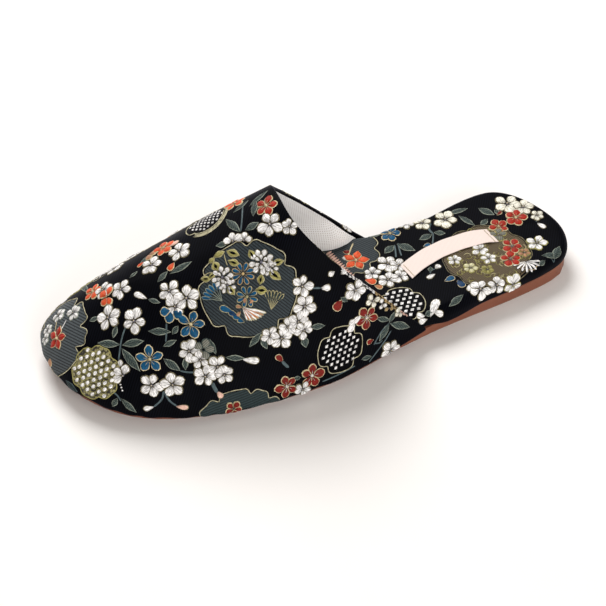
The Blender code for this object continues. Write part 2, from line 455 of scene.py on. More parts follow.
def lay(colour, form, place, length, width, turn=0.0, at=(0.0, 0.0), lift=0.1):
    """Lays a flat form on the cloth: its length runs along the turn from the place."""
    thread = place.cloth.thread(colour)
    first = len(thread["points"])
    tone = dice.random()
    for u, v, h in form["points"]:
        a = u * length + dice.uniform(-HAND_SLIP, HAND_SLIP)
        b = v * width + dice.uniform(-HAND_SLIP, HAND_SLIP)
        point = place.reach(*swing(a, b, turn, at), SUNK if h <= 0 else lift * h)
        stitch(thread, point, (a + form["root"], b), tone)
    for face in form["faces"]:
        thread["faces"].append([first + corner for corner in face])


def run_line(colour, place, path, width, lift=LINE_LIFT, closed=False):
    """A line of thread through flat points around a place."""
    thread = place.cloth.thread(colour)
    first = len(thread["points"])
    count = len(path)
    tone = dice.random()
    run = 0.0
    for k in range(count):
        before = path[k - 1] if closed or k else path[0]
        after = path[(k + 1) % count] if closed or k < count - 1 else path[-1]
        dx = after[0] - before[0]
        dy = after[1] - before[1]
        size = math.hypot(dx, dy) or 1.0
        across = (-dy / size, dx / size)
        taper = 1.0 if closed or 0 < k < count - 1 else 0.5
        half = width / 2 * taper
        run += size / 2
        for side, high in ((-1.0, SUNK), (-0.45, lift), (0.45, lift), (1.0, SUNK)):
            x = path[k][0] + across[0] * half * side
            y = path[k][1] + across[1] * half * side
            stitch(thread, place.reach(x, y, high), (run, half * side), tone)
    spans = count if closed else count - 1
    for k in range(spans):
        here = first + 4 * k
        there = first + 4 * ((k + 1) % count)
        for strip in range(3):
            thread["faces"].append([here + strip, there + strip, there + strip + 1, here + strip + 1])


def strand(colour, cloth, spots, width, lift=LINE_LIFT):
    """A line of thread that runs smoothly through charted spots."""
    places = [cloth.spot(*spot)[0] for spot in spots]
    start, _ = cloth.toward(spots[0], spots[-1])
    flat = []
    for point in places:
        way = point - start.point
        flat.append((way.dot(start.ahead) / MM, way.dot(start.left) / MM))
    run_line(colour, start, smooth_path(flat), width, lift)


def smooth_path(points, closed=False, gap=1.1):
    """Points every gap mm along a smooth curve through a few chosen ones."""
    made = []
    count = len(points)
    spans = count if closed else count - 1
    for k in range(spans):
        if closed:
            p = [points[(k + j - 1) % count] for j in range(4)]
        else:
            p = [points[min(max(k + j - 1, 0), count - 1)] for j in range(4)]
        parts = max(1, round(math.dist(p[1], p[2]) / gap))
        for s in range(parts):
            t = s / parts
            made.append(tuple(
                0.5 * (2 * b + (c - a) * t + (2 * a - 5 * b + 4 * c - d) * t * t
                       + (3 * b - a - 3 * c + d) * t ** 3)
                for a, b, c, d in zip(*p)))
    if not closed:
        made.append(tuple(points[-1]))
    return made


# ------------------------------------------------------- forms cut once, flat

def read_form(piece, root=0.0):
    """Takes the finished flat form as points and faces, and clears the model away.
    Root is how far, in mm, its threads begin before the origin."""
    put_down()
    mesh = piece.data
    form = {
        "points": [tuple(vertex.co) for vertex in mesh.vertices],
        "faces": [list(face.vertices) for face in mesh.polygons],
        "root": root,
    }
    bpy.data.objects.remove(piece)
    bpy.data.meshes.remove(mesh)
    return form


def raise_middle(rim, crown):
    """Insets the one face, lifts it to full height and crowns it."""
    bpy.ops.mesh.select_all(action="SELECT")
    bpy.ops.mesh.inset(thickness=rim, depth=0.0)
    bpy.ops.transform.translate(value=(0, 0, 1.0))
    bpy.ops.mesh.poke(offset=crown)


def flat_disc(corners):
    put_down()
    bpy.ops.mesh.primitive_circle_add(vertices=corners, radius=0.5, fill_type="NGON", location=(0.5, 0, 0))
    piece = bpy.context.object
    bpy.ops.object.transform_apply(location=True)
    into_edit(piece)
    return piece


def cut_form(corners, bend, rim, crown):
    """A form one long from the origin: a round whose corners are bent, with a raised middle."""
    piece = flat_disc(corners)
    bpy.ops.object.mode_set(mode="OBJECT")
    for vertex in piece.data.vertices:
        vertex.co.x, vertex.co.y = bend(vertex.co.x, vertex.co.y)
    bpy.ops.object.mode_set(mode="EDIT")
    raise_middle(rim, crown)
    return read_form(piece)


def cut_centred(corners, rim, crown, corner_cut=0.0):
    """A small form centred on the origin, its corners cut round if asked."""
    piece = flat_disc(corners)
    bpy.ops.mesh.select_all(action="SELECT")
    bpy.ops.transform.translate(value=(-0.5, 0, 0))
    if corner_cut:
        bpy.ops.mesh.bevel(offset=corner_cut, segments=2, affect="VERTICES")
    raise_middle(rim, crown)
    return read_form(piece, 4.0)


def bend_petal(u, v):
    """A narrow foot, a broad round end and a cleft tip."""
    side = math.copysign(1.0, v)
    half = 0.43 * max(math.sin(math.pi * min(max(u, 0.0), 1.0) ** 1.35), 0.0) ** 0.6
    if u > 0.995:
        return 0.80, side * half if abs(v) > 0.001 else 0.0
    if u > 0.96:
        return 1.0, side * 0.15
    return u, side * half if abs(v) > 0.001 else 0.0


def bend_drop(u, v):
    """A point at the origin and a round end."""
    return u, v * (0.28 + 0.72 * u ** 0.8)


def bend_blade(u, v):
    """An almond, for a leaf or a pointed petal."""
    edge = math.sqrt(max(0.25 - (u - 0.5) ** 2, 0.0)) or 1.0
    almond = 0.5 * math.sin(math.pi * u) ** 1.15 if 0.01 < u < 0.99 else 0.0
    return u, v / edge * almond


PETAL = cut_form(18, bend_petal, 0.06, 0.35)
DROP = cut_form(14, bend_drop, 0.07, 0.25)
BLADE = cut_form(16, bend_blade, 0.045, 0.1)
BEAD = cut_centred(8, 0.1, 0.15)
DIAMOND = cut_centred(4, 0.08, 0.12, corner_cut=0.1)


# ----------------------------------------------------------- woven ornaments

EDGE_GROWS = 0.26
CREAM_EDGE_GROWS = 0.21


def edged(silk, edge, form, place, length, width, turn=0.0, at=(0.0, 0.0), lift=PETAL_LIFT, over=0.0):
    """A form in silk with a line of another thread showing round it."""
    grows = CREAM_EDGE_GROWS if edge == "cream_edge" else EDGE_GROWS
    back = grows * 0.6
    if edge:
        behind = swing(-back, 0, turn, at)
        lay(edge, form, place, length + back + grows, width + 2.4 * grows, turn, behind, EDGE_LIFT + over)
    lay(silk, form, place, length, width, turn, at, lift + over)


PETAL_LAYERS = (0.0, 0.15, 0.02, 0.17, 0.30, 0.12, 0.0, 0.15)


def blossom(place, size, silk="white", edge="olive_edge", heart="heart", wide=1.0, over=0.0, of=range(5)):
    """A cherry blossom: cleft petals that overlap, round a small heart."""
    layer = over + dice.random() * 0.08
    size = size * 1.03
    for k in of:
        turn = 72 * k + dice.uniform(-9, 9)
        length = size * dice.uniform(0.88, 1.06) * 0.89
        width = length * wide * dice.uniform(0.88, 1.10)
        start = swing(0.10 * size, 0, turn)
        edged(silk, edge, PETAL, place, length, width, turn, start, PETAL_LIFT, layer + PETAL_LAYERS[k])
        if heart:
            vein = [swing(t * size, 0, turn, start) for t in (0.06, 0.24, 0.42)]
            run_line(heart, place, vein, 0.26, PETAL_LIFT + 0.11 + layer + PETAL_LAYERS[k])
    if heart:
        lay(heart, BEAD, place, 0.24 * size, 0.24 * size, 0, (0, 0), HEART_LIFT + 0.22 + layer)
        lay("cream_edge", BEAD, place, 0.12 * size, 0.12 * size, 0, (0, 0), HEART_LIFT + 0.34 + layer)


def leaf(cloth, start, end, width, green="leaf_green", edge="pale_edge", over=0.0):
    """A leaf from its foot to its tip, with a vein down it and three pairs to the sides."""
    place, length = cloth.toward(start, end)
    edged(green, edge, BLADE, place, length, width, 0.0, (0, 0), LEAF_LIFT + 0.06, over)
    run_line("vein", place, [(length * t, 0) for t in (0.06, 0.3, 0.6, 0.88)], 0.34, LEAF_LIFT + 0.13 + over)
    for t in (0.22, 0.42, 0.62):
        for side in (-1, 1):
            wing = width * 0.36 * math.sin(math.pi * (t + 0.08))
            path = ((t * length, side * 0.1 * width), ((t + 0.13) * length, side * wing))
            run_line(edge, place, path, 0.26, LEAF_LIFT + 0.13 + over)


def bud(cloth, start, end, width, silk="white", edge="olive_edge", over=0.0):
    """A bud from the end on its stem to its round end."""
    place, length = cloth.toward(start, end)
    edged(silk, edge, DROP, place, length, width, 0.0, (0, 0), PETAL_LIFT, over)


def rim_radius(angle, radius, notches, depth=2.4, width=6.5, swell=0.0):
    """A snow ring's outline: a circle with narrow notches and soft lobes between them."""
    far = radius
    for notch in notches:
        off = (angle - notch + 180) % 360 - 180
        far -= depth * math.exp(-(off / width) ** 2)
        far += swell * math.exp(-((abs(off) - 2.4 * width) / width) ** 2)
    return far


def rim_path(radius, notches, centre=(0, 0), count=132, **shape):
    angles = [360 * k / count for k in range(count)]
    return [swing(rim_radius(angle, radius, notches, **shape), 0, angle, centre) for angle in angles]


def disc_ground(colour, place, radius, notches, centre=(0, 0), lift=GROUND_LIFT, **shape):
    """The filled ground of a roundel: rings of quads that follow its outline."""
    thread = place.cloth.thread(colour)
    first = len(thread["points"])
    tone = dice.random()
    rings, count = GROUND_RINGS, GROUND_SPOKES
    for ring in range(rings + 1):
        part = 1.0 - ring / (rings + 0.4)
        for k in range(count):
            angle = 360 * k / count
            x, y = swing(rim_radius(angle, radius, notches, **shape) * part, 0, angle, centre)
            stitch(thread, place.reach(x, y, SUNK if ring == 0 else lift), (x, y), tone)
    for ring in range(rings):
        for k in range(count):
            here = first + ring * count
            there = here + count
            after = (k + 1) % count
            thread["faces"].append([here + k, here + after, there + after, there + k])
    thread["faces"].append([first + rings * count + k for k in range(count)])


def roundel(place, radius, notches, ground, centre=(0, 0), rim="rim_gold", rim_width=0.5, over=0.0, **shape):
    disc_ground(ground, place, radius, notches, centre, GROUND_LIFT + over, **shape)
    run_line(rim, place, rim_path(radius, notches, centre, **shape), rim_width, LINE_LIFT + over, closed=True)


def ground_under(colour, place, arc, foot, rows=8):
    """The ground of a roundel that is cut off straight, from its arc down to the cut."""
    thread = place.cloth.thread(colour)
    first = len(thread["points"])
    tone = dice.random()
    count = len(arc)
    for row in range(rows + 1):
        for x, y in arc:
            deep = y + (foot - y) * row / rows
            stitch(thread, place.reach(x, deep, GROUND_LIFT if row else SUNK), (x, deep), tone)
    for row in range(rows):
        for k in range(count - 1):
            here = first + row * count + k
            thread["faces"].append([here, here + 1, here + 1 + count, here + count])


def diamond_field(place, radius, pitch=3.0, size=2.25, tilt=20.0):
    """White lozenges in slanting rows inside a roundel."""
    rows = math.ceil(radius / pitch) + 1
    for row in range(-rows, rows + 1):
        for k in range(-rows, rows + 1):
            x, y = swing((k + 0.5 * (row % 2)) * pitch, row * pitch * 0.84, tilt)
            x += dice.uniform(-0.12, 0.12)
            y += dice.uniform(-0.12, 0.12)
            if math.hypot(x, y) < radius - 1.9:
                lay("white", DIAMOND, place, size, size * 0.78, tilt + 30, (x, y), GROUND_LIFT + 0.18)


def star(place, size, silk, edge, turn=0.0, at=(0, 0), over=0.0):
    """A five-pointed flower: pointed petals, each drawn round, about a pale heart."""
    for k in range(5):
        angle = turn + 72 * k
        start = swing(0.06 * size, 0, angle, at)
        edged(silk, edge, BLADE, place, size, size * 0.66, angle, start, PETAL_LIFT, over + PETAL_LAYERS[k])
    lay("cream_edge", BEAD, place, 0.26 * size, 0.26 * size, 0, at, HEART_LIFT + 0.3 + over)


def ringed_flower(place, size, at, silk="blue", edge="gold", over=0.0):
    """A round flower of eight narrow petals, each drawn round in gold."""
    for k in range(8):
        angle = 45 * k + 12
        start = swing(0.22 * size, 0, angle, at)
        height = over + 0.04 * (k % 2)
        edged(silk, edge, DROP, place, size * 0.80, size * 0.50, angle, start, PETAL_LIFT - 0.04, height)
    lay(edge, BEAD, place, 0.3 * size, 0.3 * size, 0, at, HEART_LIFT + over)


def shell(place, reach, at, turn, spread=110, ribs=7, colours=("white", "orange_soft"),
          edge="gold", over=0.0, full=1.12):
    """A shell: round-ended ribs that fan out from one point, with a first and a last reach."""
    first, last = reach
    for k in range(ribs):
        part = k / (ribs - 1)
        angle = turn + spread * (part - 0.5)
        length = first + (last - first) * part
        width = length * math.radians(spread) / (ribs - 1) * full
        edged(colours[k % len(colours)], edge, DROP, place, length, width, angle, at, PETAL_LIFT - 0.05, over)


def fan(place, reach, at, turn, spread, ribs, silk, edge, over):
    """An open fan: thin ribs from one point, each with a drop of silk at its far end."""
    tips = []
    for k in range(ribs):
        angle = turn + spread * (k / (ribs - 1) - 0.5)
        rib = [swing(t * reach, 0, angle, at) for t in (0.0, 0.3, 0.62)]
        run_line(edge, place, rib, 0.4, LINE_LIFT + over)
        start = swing(0.5 * reach, 0, angle, at)
        width = reach * math.radians(spread) / (ribs - 1) * 0.92
        edged(silk, edge, DROP, place, 0.5 * reach, width, angle, start, PETAL_LIFT - 0.03, over)
        tips.append(swing(1.04 * reach, 0, angle, at))
    for tip in (tips[0], tips[-1]):
        run_line(edge, place, smooth_path([at, tip]), 0.38, LINE_LIFT + over)


# ------------------------------------------------- the pattern on the vamp
# Charts are in mm from the heel end, then mm up from the floor (outer, inner) or across (top).

def charted(table):
    """The rows of a table that is kept chart by chart, each with its chart in front."""
    for chart, rows in table:
        for row in rows:
            yield chart, *row


def lay_blossoms(cloth, table, other_heart="cream_edge"):
    """Blossoms: chart, then along, offset, turn, size, and the silk if it isn't white."""
    for chart, along, offset, turn, size, *kind in charted(table):
        silk = kind[0] if kind else "white"
        pale = silk in ("white", "cream_silk")
        edge = "olive_edge" if pale else "cream_edge"
        blossom(cloth.place(chart, along, offset, turn), size, silk, edge, "heart" if pale else other_heart)


def lay_leaves(cloth, table):
    """Leaves: chart, then foot, tip and width."""
    for chart, a, b, c, d, width in charted(table):
        leaf(cloth, (chart, a, b), (chart, c, d), width)


def lay_stems(cloth, table):
    """Stems: chart, then three spots and the width."""
    for chart, a, b, c, d, e, f, width in charted(table):
        strand("stem", cloth, ((chart, a, b), (chart, c, d), (chart, e, f)), width)


def lay_buds(cloth, table):
    """Buds: chart, then stem end, round end, width and silk."""
    for chart, a, b, c, d, width, silk in charted(table):
        edge = "olive_edge" if silk in ("white", "blush") else "cream_edge"
        bud(cloth, (chart, a, b), (chart, c, d), width, silk, edge)


def slit_leaf(place, at, turn, length, width, over, slit="night"):
    """A gold leaf drawn round in pale gold, with a dark slit down its middle."""
    foot = swing(-length / 2, 0, turn, at)
    edged("yellow_gold", "pale_gold", BLADE, place, length, width, turn, foot, PETAL_LIFT, over)
    if slit:
        inner = swing(0.19 * length, 0, turn, foot)
        lay(slit, BLADE, place, length * 0.62, width * 0.36, turn, inner, PETAL_LIFT + 0.17 + over)


def ruffle(place, size, at, silk, edge, over, petals):
    """A small full flower: a ring of petals and a second, smaller ring on it."""
    for ring, (count, reach, far) in enumerate(((petals, 0.62, 0.40), (petals - 3, 0.42, 0.16))):
        for k in range(count):
            turn = 360 / count * k + 17 * ring + dice.uniform(-7, 7)
            start = swing(far * size, 0, turn, at)
            height = over + 0.16 * ring + 0.05 * (k % 2)
            long = reach * size
            edged(silk, edge, PETAL, place, long, long * 0.85, turn, start, PETAL_LIFT, height)
    lay("heart", BEAD, place, 0.26 * size, 0.26 * size, 0, at, HEART_LIFT + 0.3 + over)


def weave_great_roundel(cloth):
    """The large slate snow ring on the outer side, with its garden of small flowers."""
    middle = cloth.place("outer", 168, 56)
    notches = (260, 334, 44, 121, 201)
    roundel(middle, 21.6, notches, "slate", depth=2.4, width=5.0, swell=0.7)
    over = OVER_ROUNDEL
    # full white flowers: ahead, down, size, petals
    for a, b, size, petals in ((-8.2, -10.4, 5.6, 9), (-11.2, -7.2, 3.8, 7), (10.0, -7.8, 4.9, 8),
                               (8.6, -3.8, 3.8, 7)):
        ruffle(middle, size, (a, b), "white", "olive_edge", over, petals)
    ringed_flower(middle, 5.0, (0.8, -7.2), "blue", "gold", over=over)
    ringed_flower(middle, 4.7, (1.4, 3.0), "blue", "pale_gold", over=over)
    # gold leaves with a dark slit: middle ahead and down, turn, length, width
    for a, b, turn, length, width in (
            (3.4, -17.4, 146, 6.8, 3.6), (12.0, -13.4, 286, 5.2, 3.8), (3.8, -13.0, 146, 6.2, 3.0),
            (-4.8, -14.6, 106, 5.2, 3.2), (-15.2, -8.6, 181, 5.6, 2.8), (-12.6, -3.4, 131, 7.2, 3.6),
            (-6.2, -3.0, 246, 5.2, 3.0), (-5.4, 1.7, 161, 5.6, 3.8), (7.6, -1.4, 116, 5.2, 3.4),
            (17.4, -8.8, 166, 4.8, 2.6), (14.4, -9.6, 196, 4.0, 2.2)):
        slit_leaf(middle, (a, b), turn, length, width, over)
    slit_leaf(middle, (9.6, -18.6), 191, 5.8, 2.8, over, slit=None)
    slit_leaf(middle, (13.4, -16.6), 210, 3.6, 2.2, over, slit=None)
    line = smooth_path([(7.4, -18.2), (7.2, -15.2), (6.8, -12.4)])
    run_line("pale_gold", middle, line, 0.45, LINE_LIFT + over)
    line = smooth_path([(19.6, -9.6), (16.0, -11.2), (13.6, -11.0)])
    run_line("pale_gold", middle, line, 0.4, LINE_LIFT + over)
    # open fans: blue to the toe, slate to the heel
    fan(middle, 9.2, (12.4, 2.4), 304, 66, 6, "blue", "pale_edge", over)
    fan(middle, 8.8, (-7.6, 11.2), 246, 56, 6, "slate_teal", "pale_gold", over)
    # a wing of blue drops, and the striped shell beside it, along the lower edge
    for (a, b), (c, d), width, silk in (
            ((8.8, 8.2), (14.2, 4.7), 3.9, "blue"), ((7.2, 10.4), (10.8, 7.6), 3.4, "deep_blue"),
            ((6.0, 12.2), (9.4, 9.8), 3.0, "blue"), ((5.0, 13.8), (7.8, 12.0), 2.6, "blue")):
        turn = math.degrees(math.atan2(d - b, c - a))
        length = math.hypot(c - a, d - b)
        edged(silk, "pale_gold", DROP, middle, length, width, turn, (a, b), PETAL_LIFT, over)
    ribs = ("white", "orange_soft", "white", "tan")
    shell(middle, (6.4, 11.0), (4.4, 7.0), 124, 56, 9, ribs, "rim_gold", over)
    for a, b, turn in ((4.6, 7.2, 330), (3.0, 6.0, 260), (5.6, 8.6, 40), (1.4, 6.4, 215)):
        edged("tan", "pale_gold", DROP, middle, 2.8, 2.0, turn, (a, b), PETAL_LIFT + 0.1, over)


def weave_toe_roundel(cloth):
    """The slate snow ring over the toe, with a red star flower in it."""
    middle = cloth.place("top", 249, -8)
    notches = (352, 40, 154, 205, 117, 300)
    roundel(middle, 18.8, notches, "slate_pale", over=0.03, depth=3.6, width=4.6, swell=0.8)
    over = OVER_ROUNDEL
    red = cloth.place("top", 249, -6, 8)
    star(red, 5.6, "vermilion", "cream_edge", over=over)
    for along, across, size in (
            (239.4, -10, 4.0), (245.0, -16.7, 4.0), (251.0, -15.4, 3.4), (253.0, -12.6, 3.0)):
        blossom(cloth.place("top", along, across, 30), size, edge="pale_edge", over=over)
    lift = LINE_LIFT + over
    strand("white", cloth, (("top", 243, -10), ("top", 246, -8), ("top", 248, -8)), 0.7, lift)
    strand("cream_edge", cloth, (("top", 246, -16), ("top", 248, -12), ("top", 249, -10)), 0.6, lift)
    edged("tan", "cream_edge", PETAL, cloth.place("top", 254, -3, 60), 4.0, 5.0, over=over)


def netted_ball(middle, radius, rows):
    """Netted gold in rows of loops, with a white knot in each loop."""
    lobes = (20, 75, 140, 200, 262, 318)
    disc_ground("olive_net", middle, radius, lobes, lift=0.16, depth=1.1, width=8, swell=0.4)
    rim = rim_path(radius - 0.2, lobes, depth=1.1, width=8, swell=0.4)
    run_line("yellow_gold", middle, rim, 0.5, 0.24, closed=True)
    for row in range(-rows, rows + 1):
        for k in range(-rows, rows + 1):
            a = (k + 0.5 * (row % 2)) * 3.3 + dice.uniform(-0.3, 0.3)
            b = row * 2.7 + dice.uniform(-0.3, 0.3)
            if math.hypot(a, b) < radius - 1.2:
                lay("white", BEAD, middle, 2.5, 1.9, 20, (a, b), 0.46)
                for bend in (-1, 1):
                    loop = [(a - 1.6, b + 0.3 * bend), (a, b + 1.35 * bend), (a + 1.6, b + 0.3 * bend)]
                    run_line("yellow_gold", middle, loop, 0.5, 0.34)


def weave_net_roundel(cloth):
    """The olive roundel of netted gold by the toe."""
    netted_ball(cloth.place("outer", 238.5, 21, 6), 12.2, 6)


def weave_diamond_roundels(cloth):
    """Black roundels of white lozenges: one by the heel corner, two over the far side."""
    near = cloth.place("outer", 130.5, 20, 0)
    roundel(near, 11.6, (40, 130, 215, 300), "night", depth=1.9, width=8.5, swell=0.35)
    diamond_field(near, 11.9, pitch=3.05, size=2.35, tilt=8)
    for along, across, radius, rim_width in ((174, -15, 10.5, 0.62), (219.6, -30.6, 9.8, 0.3)):
        far = cloth.place("top", along, across, 10)
        roundel(far, radius, (20, 110, 200, 290), "night", rim_width=rim_width, depth=1.7, width=8.5)
        diamond_field(far, radius, pitch=2.5, size=2.0, tilt=52)
    for far, wide in ((11.1, 0.9), (10.1, 0.8), (9.2, 0.6)):
        band = [swing(far, 0, turn) for turn in range(24, 157, 12)]
        run_line("rim_gold", cloth.place("top", 174, -15, 10), smooth_path(band), wide, 0.2)


def weave_low_roundel(cloth):
    """The slate snow ring that the sole cuts off."""
    edge = cloth.place("outer", 180, 11)
    ring = rim_path(24.0, (199, 228, 252, 292, 322), (1.5, 20.0), 200, depth=2.2, width=3.2, swell=0.3)
    arc = [spot for spot in ring if spot[1] < 6.0]
    ground_under("slate_teal", edge, arc, 7.2)
    run_line("rim_gold", edge, arc, 0.5)
    half = cloth.place("outer", 183.4, 6.2, 20)
    blossom(half, 4.0, "red", "cream_edge", None, over=OVER_ROUNDEL)


def weave_white_blossoms(cloth):
    """The cherry blossoms."""
    lay_blossoms(cloth, (
        ("outer", ((217.4, 41.2, 10, 5.8),)),
        ("top", (
            (226.9, 5.8, 40, 5.8), (218.4, -2.2, 0, 5.0), (225, -9, 25, 4.8), (203, -5, 15, 5.2),
            (190, -3.7, 50, 5.5),
        )),
        ("outer", (
            (199.5, 48.5, 25, 5.0), (200, 52, 5, 5.3), (194, 51.5, 40, 6.0), (198.3, 34.2, 15, 5.2),
            (194.4, 30.5, 60, 4.4), (187.6, 27, 10, 5.2), (193.6, 23.4, 35, 5.3), (185.3, 23, 60, 4.6),
            (216.8, 20.6, 22, 5.4), (208, 20.8, 50, 5.6), (144.8, 54.6, 30, 5.2), (145.3, 46.4, 5, 5.6),
            (149.2, 40.6, 30, 5.2), (154.2, 39.4, 55, 4.4), (147.2, 36.2, 12, 4.6),
            (157.8, 35.0, 40, 5.6), (162.6, 37.0, 15, 4.2), (120.3, 45.5, 20, 5.6),
        )),
        ("top", ((152.0, 10.4, 0, 5.8), (144.5, 15, 40, 3.8))),
        ("outer", ((105, 8, 20, 5.4), (151, 7.5, 20, 4.2))),
    ))
    blossom(cloth.place("outer", 192.2, 34.5, 30), 4.8, "grey_leaf", "leaf_green", None)
    # blossoms that show some of their petals: chart, along, offset, turn, size, petals
    for chart, along, offset, turn, size, shown in (
            ("outer", 227.6, 23.2, 20, 5.2, (0, 3, 4)), ("top", 168.6, 8.0, 262, 4.6, (0, 1, 4)),
            ("top", 164.2, 10.4, 246, 3.8, (0, 1, 4))):
        blossom(cloth.place(chart, along, offset, turn), size, of=shown)
    # single petals: along, up, turn, length
    for along, up, turn, size in (
            (128.8, 56.6, 20, 3.4), (126.2, 54.6, 200, 3.2), (118.6, 32.4, 35, 4.8),
            (122.0, 29.8, 38, 5.2), (121.2, 31.6, 24, 4.4), (228, 26, 250, 3.2), (152, 44, 60, 3.0)):
        edged("white", "olive_edge", PETAL, cloth.place("outer", along, up, turn), size, size * 0.9)
    for k in range(9):
        bead = cloth.place("outer", 230.0 - 0.1 * k, 26.5 - 1.15 * k)
        lay("white", BEAD, bead, 0.9, 0.8, lift=0.26)


def weave_bright_blossoms(cloth):
    """The blue, red and orange flowers, each drawn round in gold."""
    for chart, along, offset, turn, size, silk in charted((
        ("outer", (
            (195, 43.7, 32, 6.4, "blue"), (215.2, 30.6, 47, 6.0, "blue"), (158, 11, 68, 5.6, "red"),
            (145.7, 12.4, 38, 6.0, "red"), (116, 30.2, 10, 5.8, "red"),
        )),
        ("top", (
            (150.6, 1.2, 20, 5.4, "vermilion"), (195, -12.5, 40, 5.6, "orange"),
            (229.0, -13.4, 10, 5.0, "orange"), (160, -15, 30, 5.4, "orange"), (138, -36, 15, 5.6, "red"),
        )),
        ("inner", ((182, 30, 30, 5.4, "red"),)),
    )):
        heart = "white" if silk == "red" else "cream_edge"
        wide = 0.80 if silk == "blue" else 0.90
        blossom(cloth.place(chart, along, offset, turn), size, silk, "cream_edge", heart, wide=wide)
    # half flowers: chart, along, offset, turn, size, silk, petals that show
    for chart, along, offset, turn, size, silk, shown in (
            ("outer", 201.2, 47.3, 60, 5.6, "blue", (0, 1, 4)),
            ("top", 224.5, -3.6, 20, 5.0, "orange", (0, 1, 3, 4)),
            ("top", 202, -14, 10, 4.6, "tan", (1, 2))):
        blossom(cloth.place(chart, along, offset, turn), size, silk, "cream_edge", None, of=shown, over=0.06)
    lay_buds(cloth, (
        ("outer", (
            (127.2, 43.2, 131.4, 39.6, 6.6, "red"), (158.4, 23.6, 161.0, 27.4, 3.8, "red"),
            (113.4, 17.2, 117.0, 17.2, 3.8, "red"),
        )),
    ))
    bud(cloth, ("top", 194, 1.0), ("top", 197.4, 3.4), 4.4, "orange", "cream_edge", 0.12)
    bud(cloth, ("top", 205, -10.5), ("top", 208.4, -9.4), 2.8, "orange", "cream_edge")


def weave_white_buds(cloth):
    """White and blush buds on their stems."""
    lay_buds(cloth, (
        ("outer", (
            (209.6, 48.0, 214.0, 47.4, 3.8, "white"), (176.2, 28.4, 168.8, 26.2, 4.8, "white"),
            (136.4, 51.6, 131.8, 50.4, 4.4, "white"), (217.6, 11.4, 222.2, 10.2, 3.4, "white"),
            (208.4, 11.2, 203.0, 10.2, 3.4, "blush"), (189.6, 15.8, 187.6, 12.6, 3.6, "blush"),
        )),
    ))
    lay_stems(cloth, (
        ("outer", (
            (212.4, 18, 213.6, 14.6, 217.6, 11.4, 1.0), (212.2, 18, 210.6, 13.8, 208.0, 11.4, 1.0),
            (191.0, 20, 190.4, 17.5, 189.4, 15.2, 2.0), (141.0, 52.9, 138.6, 52.2, 136.2, 51.6, 1.1),
            (158.8, 24.0, 157.6, 22.0, 156.2, 20.0, 1.7),
        )),
    ))


def weave_leaves(cloth):
    """Leaves and stems in grey green."""
    lay_leaves(cloth, (
        ("outer", (
            (225.4, 33.2, 234.4, 30.6, 3.0), (225.0, 33.2, 215.6, 36.4, 3.2),
            (225.6, 32.4, 220.2, 25.6, 3.6), (224.6, 38.0, 227.6, 34.2, 2.2),
            (213.2, 39.6, 203.8, 40.6, 3.0), (208.6, 35.4, 202.4, 38.0, 2.0),
            (203.6, 39.8, 200.4, 42.8, 2.2),
        )),
        ("top", ((197.6, 5.2, 187.0, 5.7, 2.8), (203.4, 5.6, 198.0, 3.4, 2.6))),
        ("outer", (
            (209.8, 31.2, 203.6, 26.4, 3.2), (201.4, 26.6, 200.6, 31.6, 2.2),
            (187.2, 32.0, 188.6, 38.4, 1.8), (183.6, 30.4, 175.0, 28.6, 2.4),
            (166.0, 39.2, 172.4, 33.4, 2.6), (166.4, 37.4, 164.8, 31.2, 2.6),
            (147.6, 33.4, 147.0, 27.4, 3.2), (144.2, 36.4, 136.8, 34.6, 2.6),
            (111.2, 27.6, 104.2, 23.2, 2.4), (104.4, 22.2, 110.4, 15.0, 3.4),
            (104.4, 21.6, 93.6, 14.2, 3.6), (104.6, 21.8, 101.0, 26.4, 2.4),
            (209.4, 48.0, 205.0, 48.4, 1.8),
        )),
        ("top", (
            (164.2, 6.0, 167.4, -6.2, 3.2), (162.4, 6.2, 156.0, 6.8, 3.2),
            (163.4, -7.4, 155.4, -9.6, 2.6), (157.2, 2.4, 153.2, -5.4, 3.0),
            (170.4, 7.4, 175.6, 5.2, 2.8), (156.8, -4.6, 146.6, -8.0, 2.8),
            (213.4, -5.4, 209.4, -6.4, 1.5),
        )),
        ("outer", (
            (231.8, 13.8, 234.6, 9.6, 2.2), (230.6, 14.0, 225.2, 8.4, 2.6),
            (124.6, 41.4, 127.6, 44.4, 2.0),
        )),
        ("top", ((230.6, 2.2, 234.6, 0.4, 2.0),)),
        ("outer", ((151.0, 13.4, 154.4, 13.8, 1.8), (120.6, 10.4, 115.2, 9.4, 2.0))),
    ))
    leaf(cloth, ("top", 250.6, 11.4), ("outer", 247.0, 10.6), 2.6, "slate_teal", "stem")
    lay_stems(cloth, (
        ("outer", (
            (221.4, 38.6, 224.2, 35.2, 227.8, 28.2, 0.9), (204.8, 43.2, 205.8, 40.2, 207.0, 37.0, 0.9),
            (203.8, 26.4, 200.2, 25.6, 196.6, 25.4, 0.9),
        )),
        ("top", ((158.8, -7.2, 161.4, -0.6, 164.0, 6.0, 0.9),)),
        ("outer", (
            (104.2, 22.0, 108.8, 19.6, 113.4, 14.6, 0.8), (103.8, 17.6, 108.6, 13.0, 116.6, 7.2, 0.8),
            (113.2, 15.2, 110.6, 14.2, 108.8, 14.8, 0.9), (233.6, 16.4, 231.6, 14.8, 230.8, 12.8, 0.9),
            (141.0, 7.6, 132.0, 8.4, 124.0, 8.8, 0.8),
        )),
    ))


def rim_place(cloth, along, side=1):
    """The crest of the topline, so far from the heel, on the outer (1) or inner (-1) side."""
    best = None
    for k in range(0, 150):
        across = side * (47.5 - 0.3 * k)
        x = HEEL_X + along * MM
        point, normal = cloth.tree.ray_cast(Vector((x, across * MM, 0.3)), Vector((0, 0, -1)))[:2]
        if point is not None and (best is None or point.z > best[0].z):
            best = (point, normal)
    return best


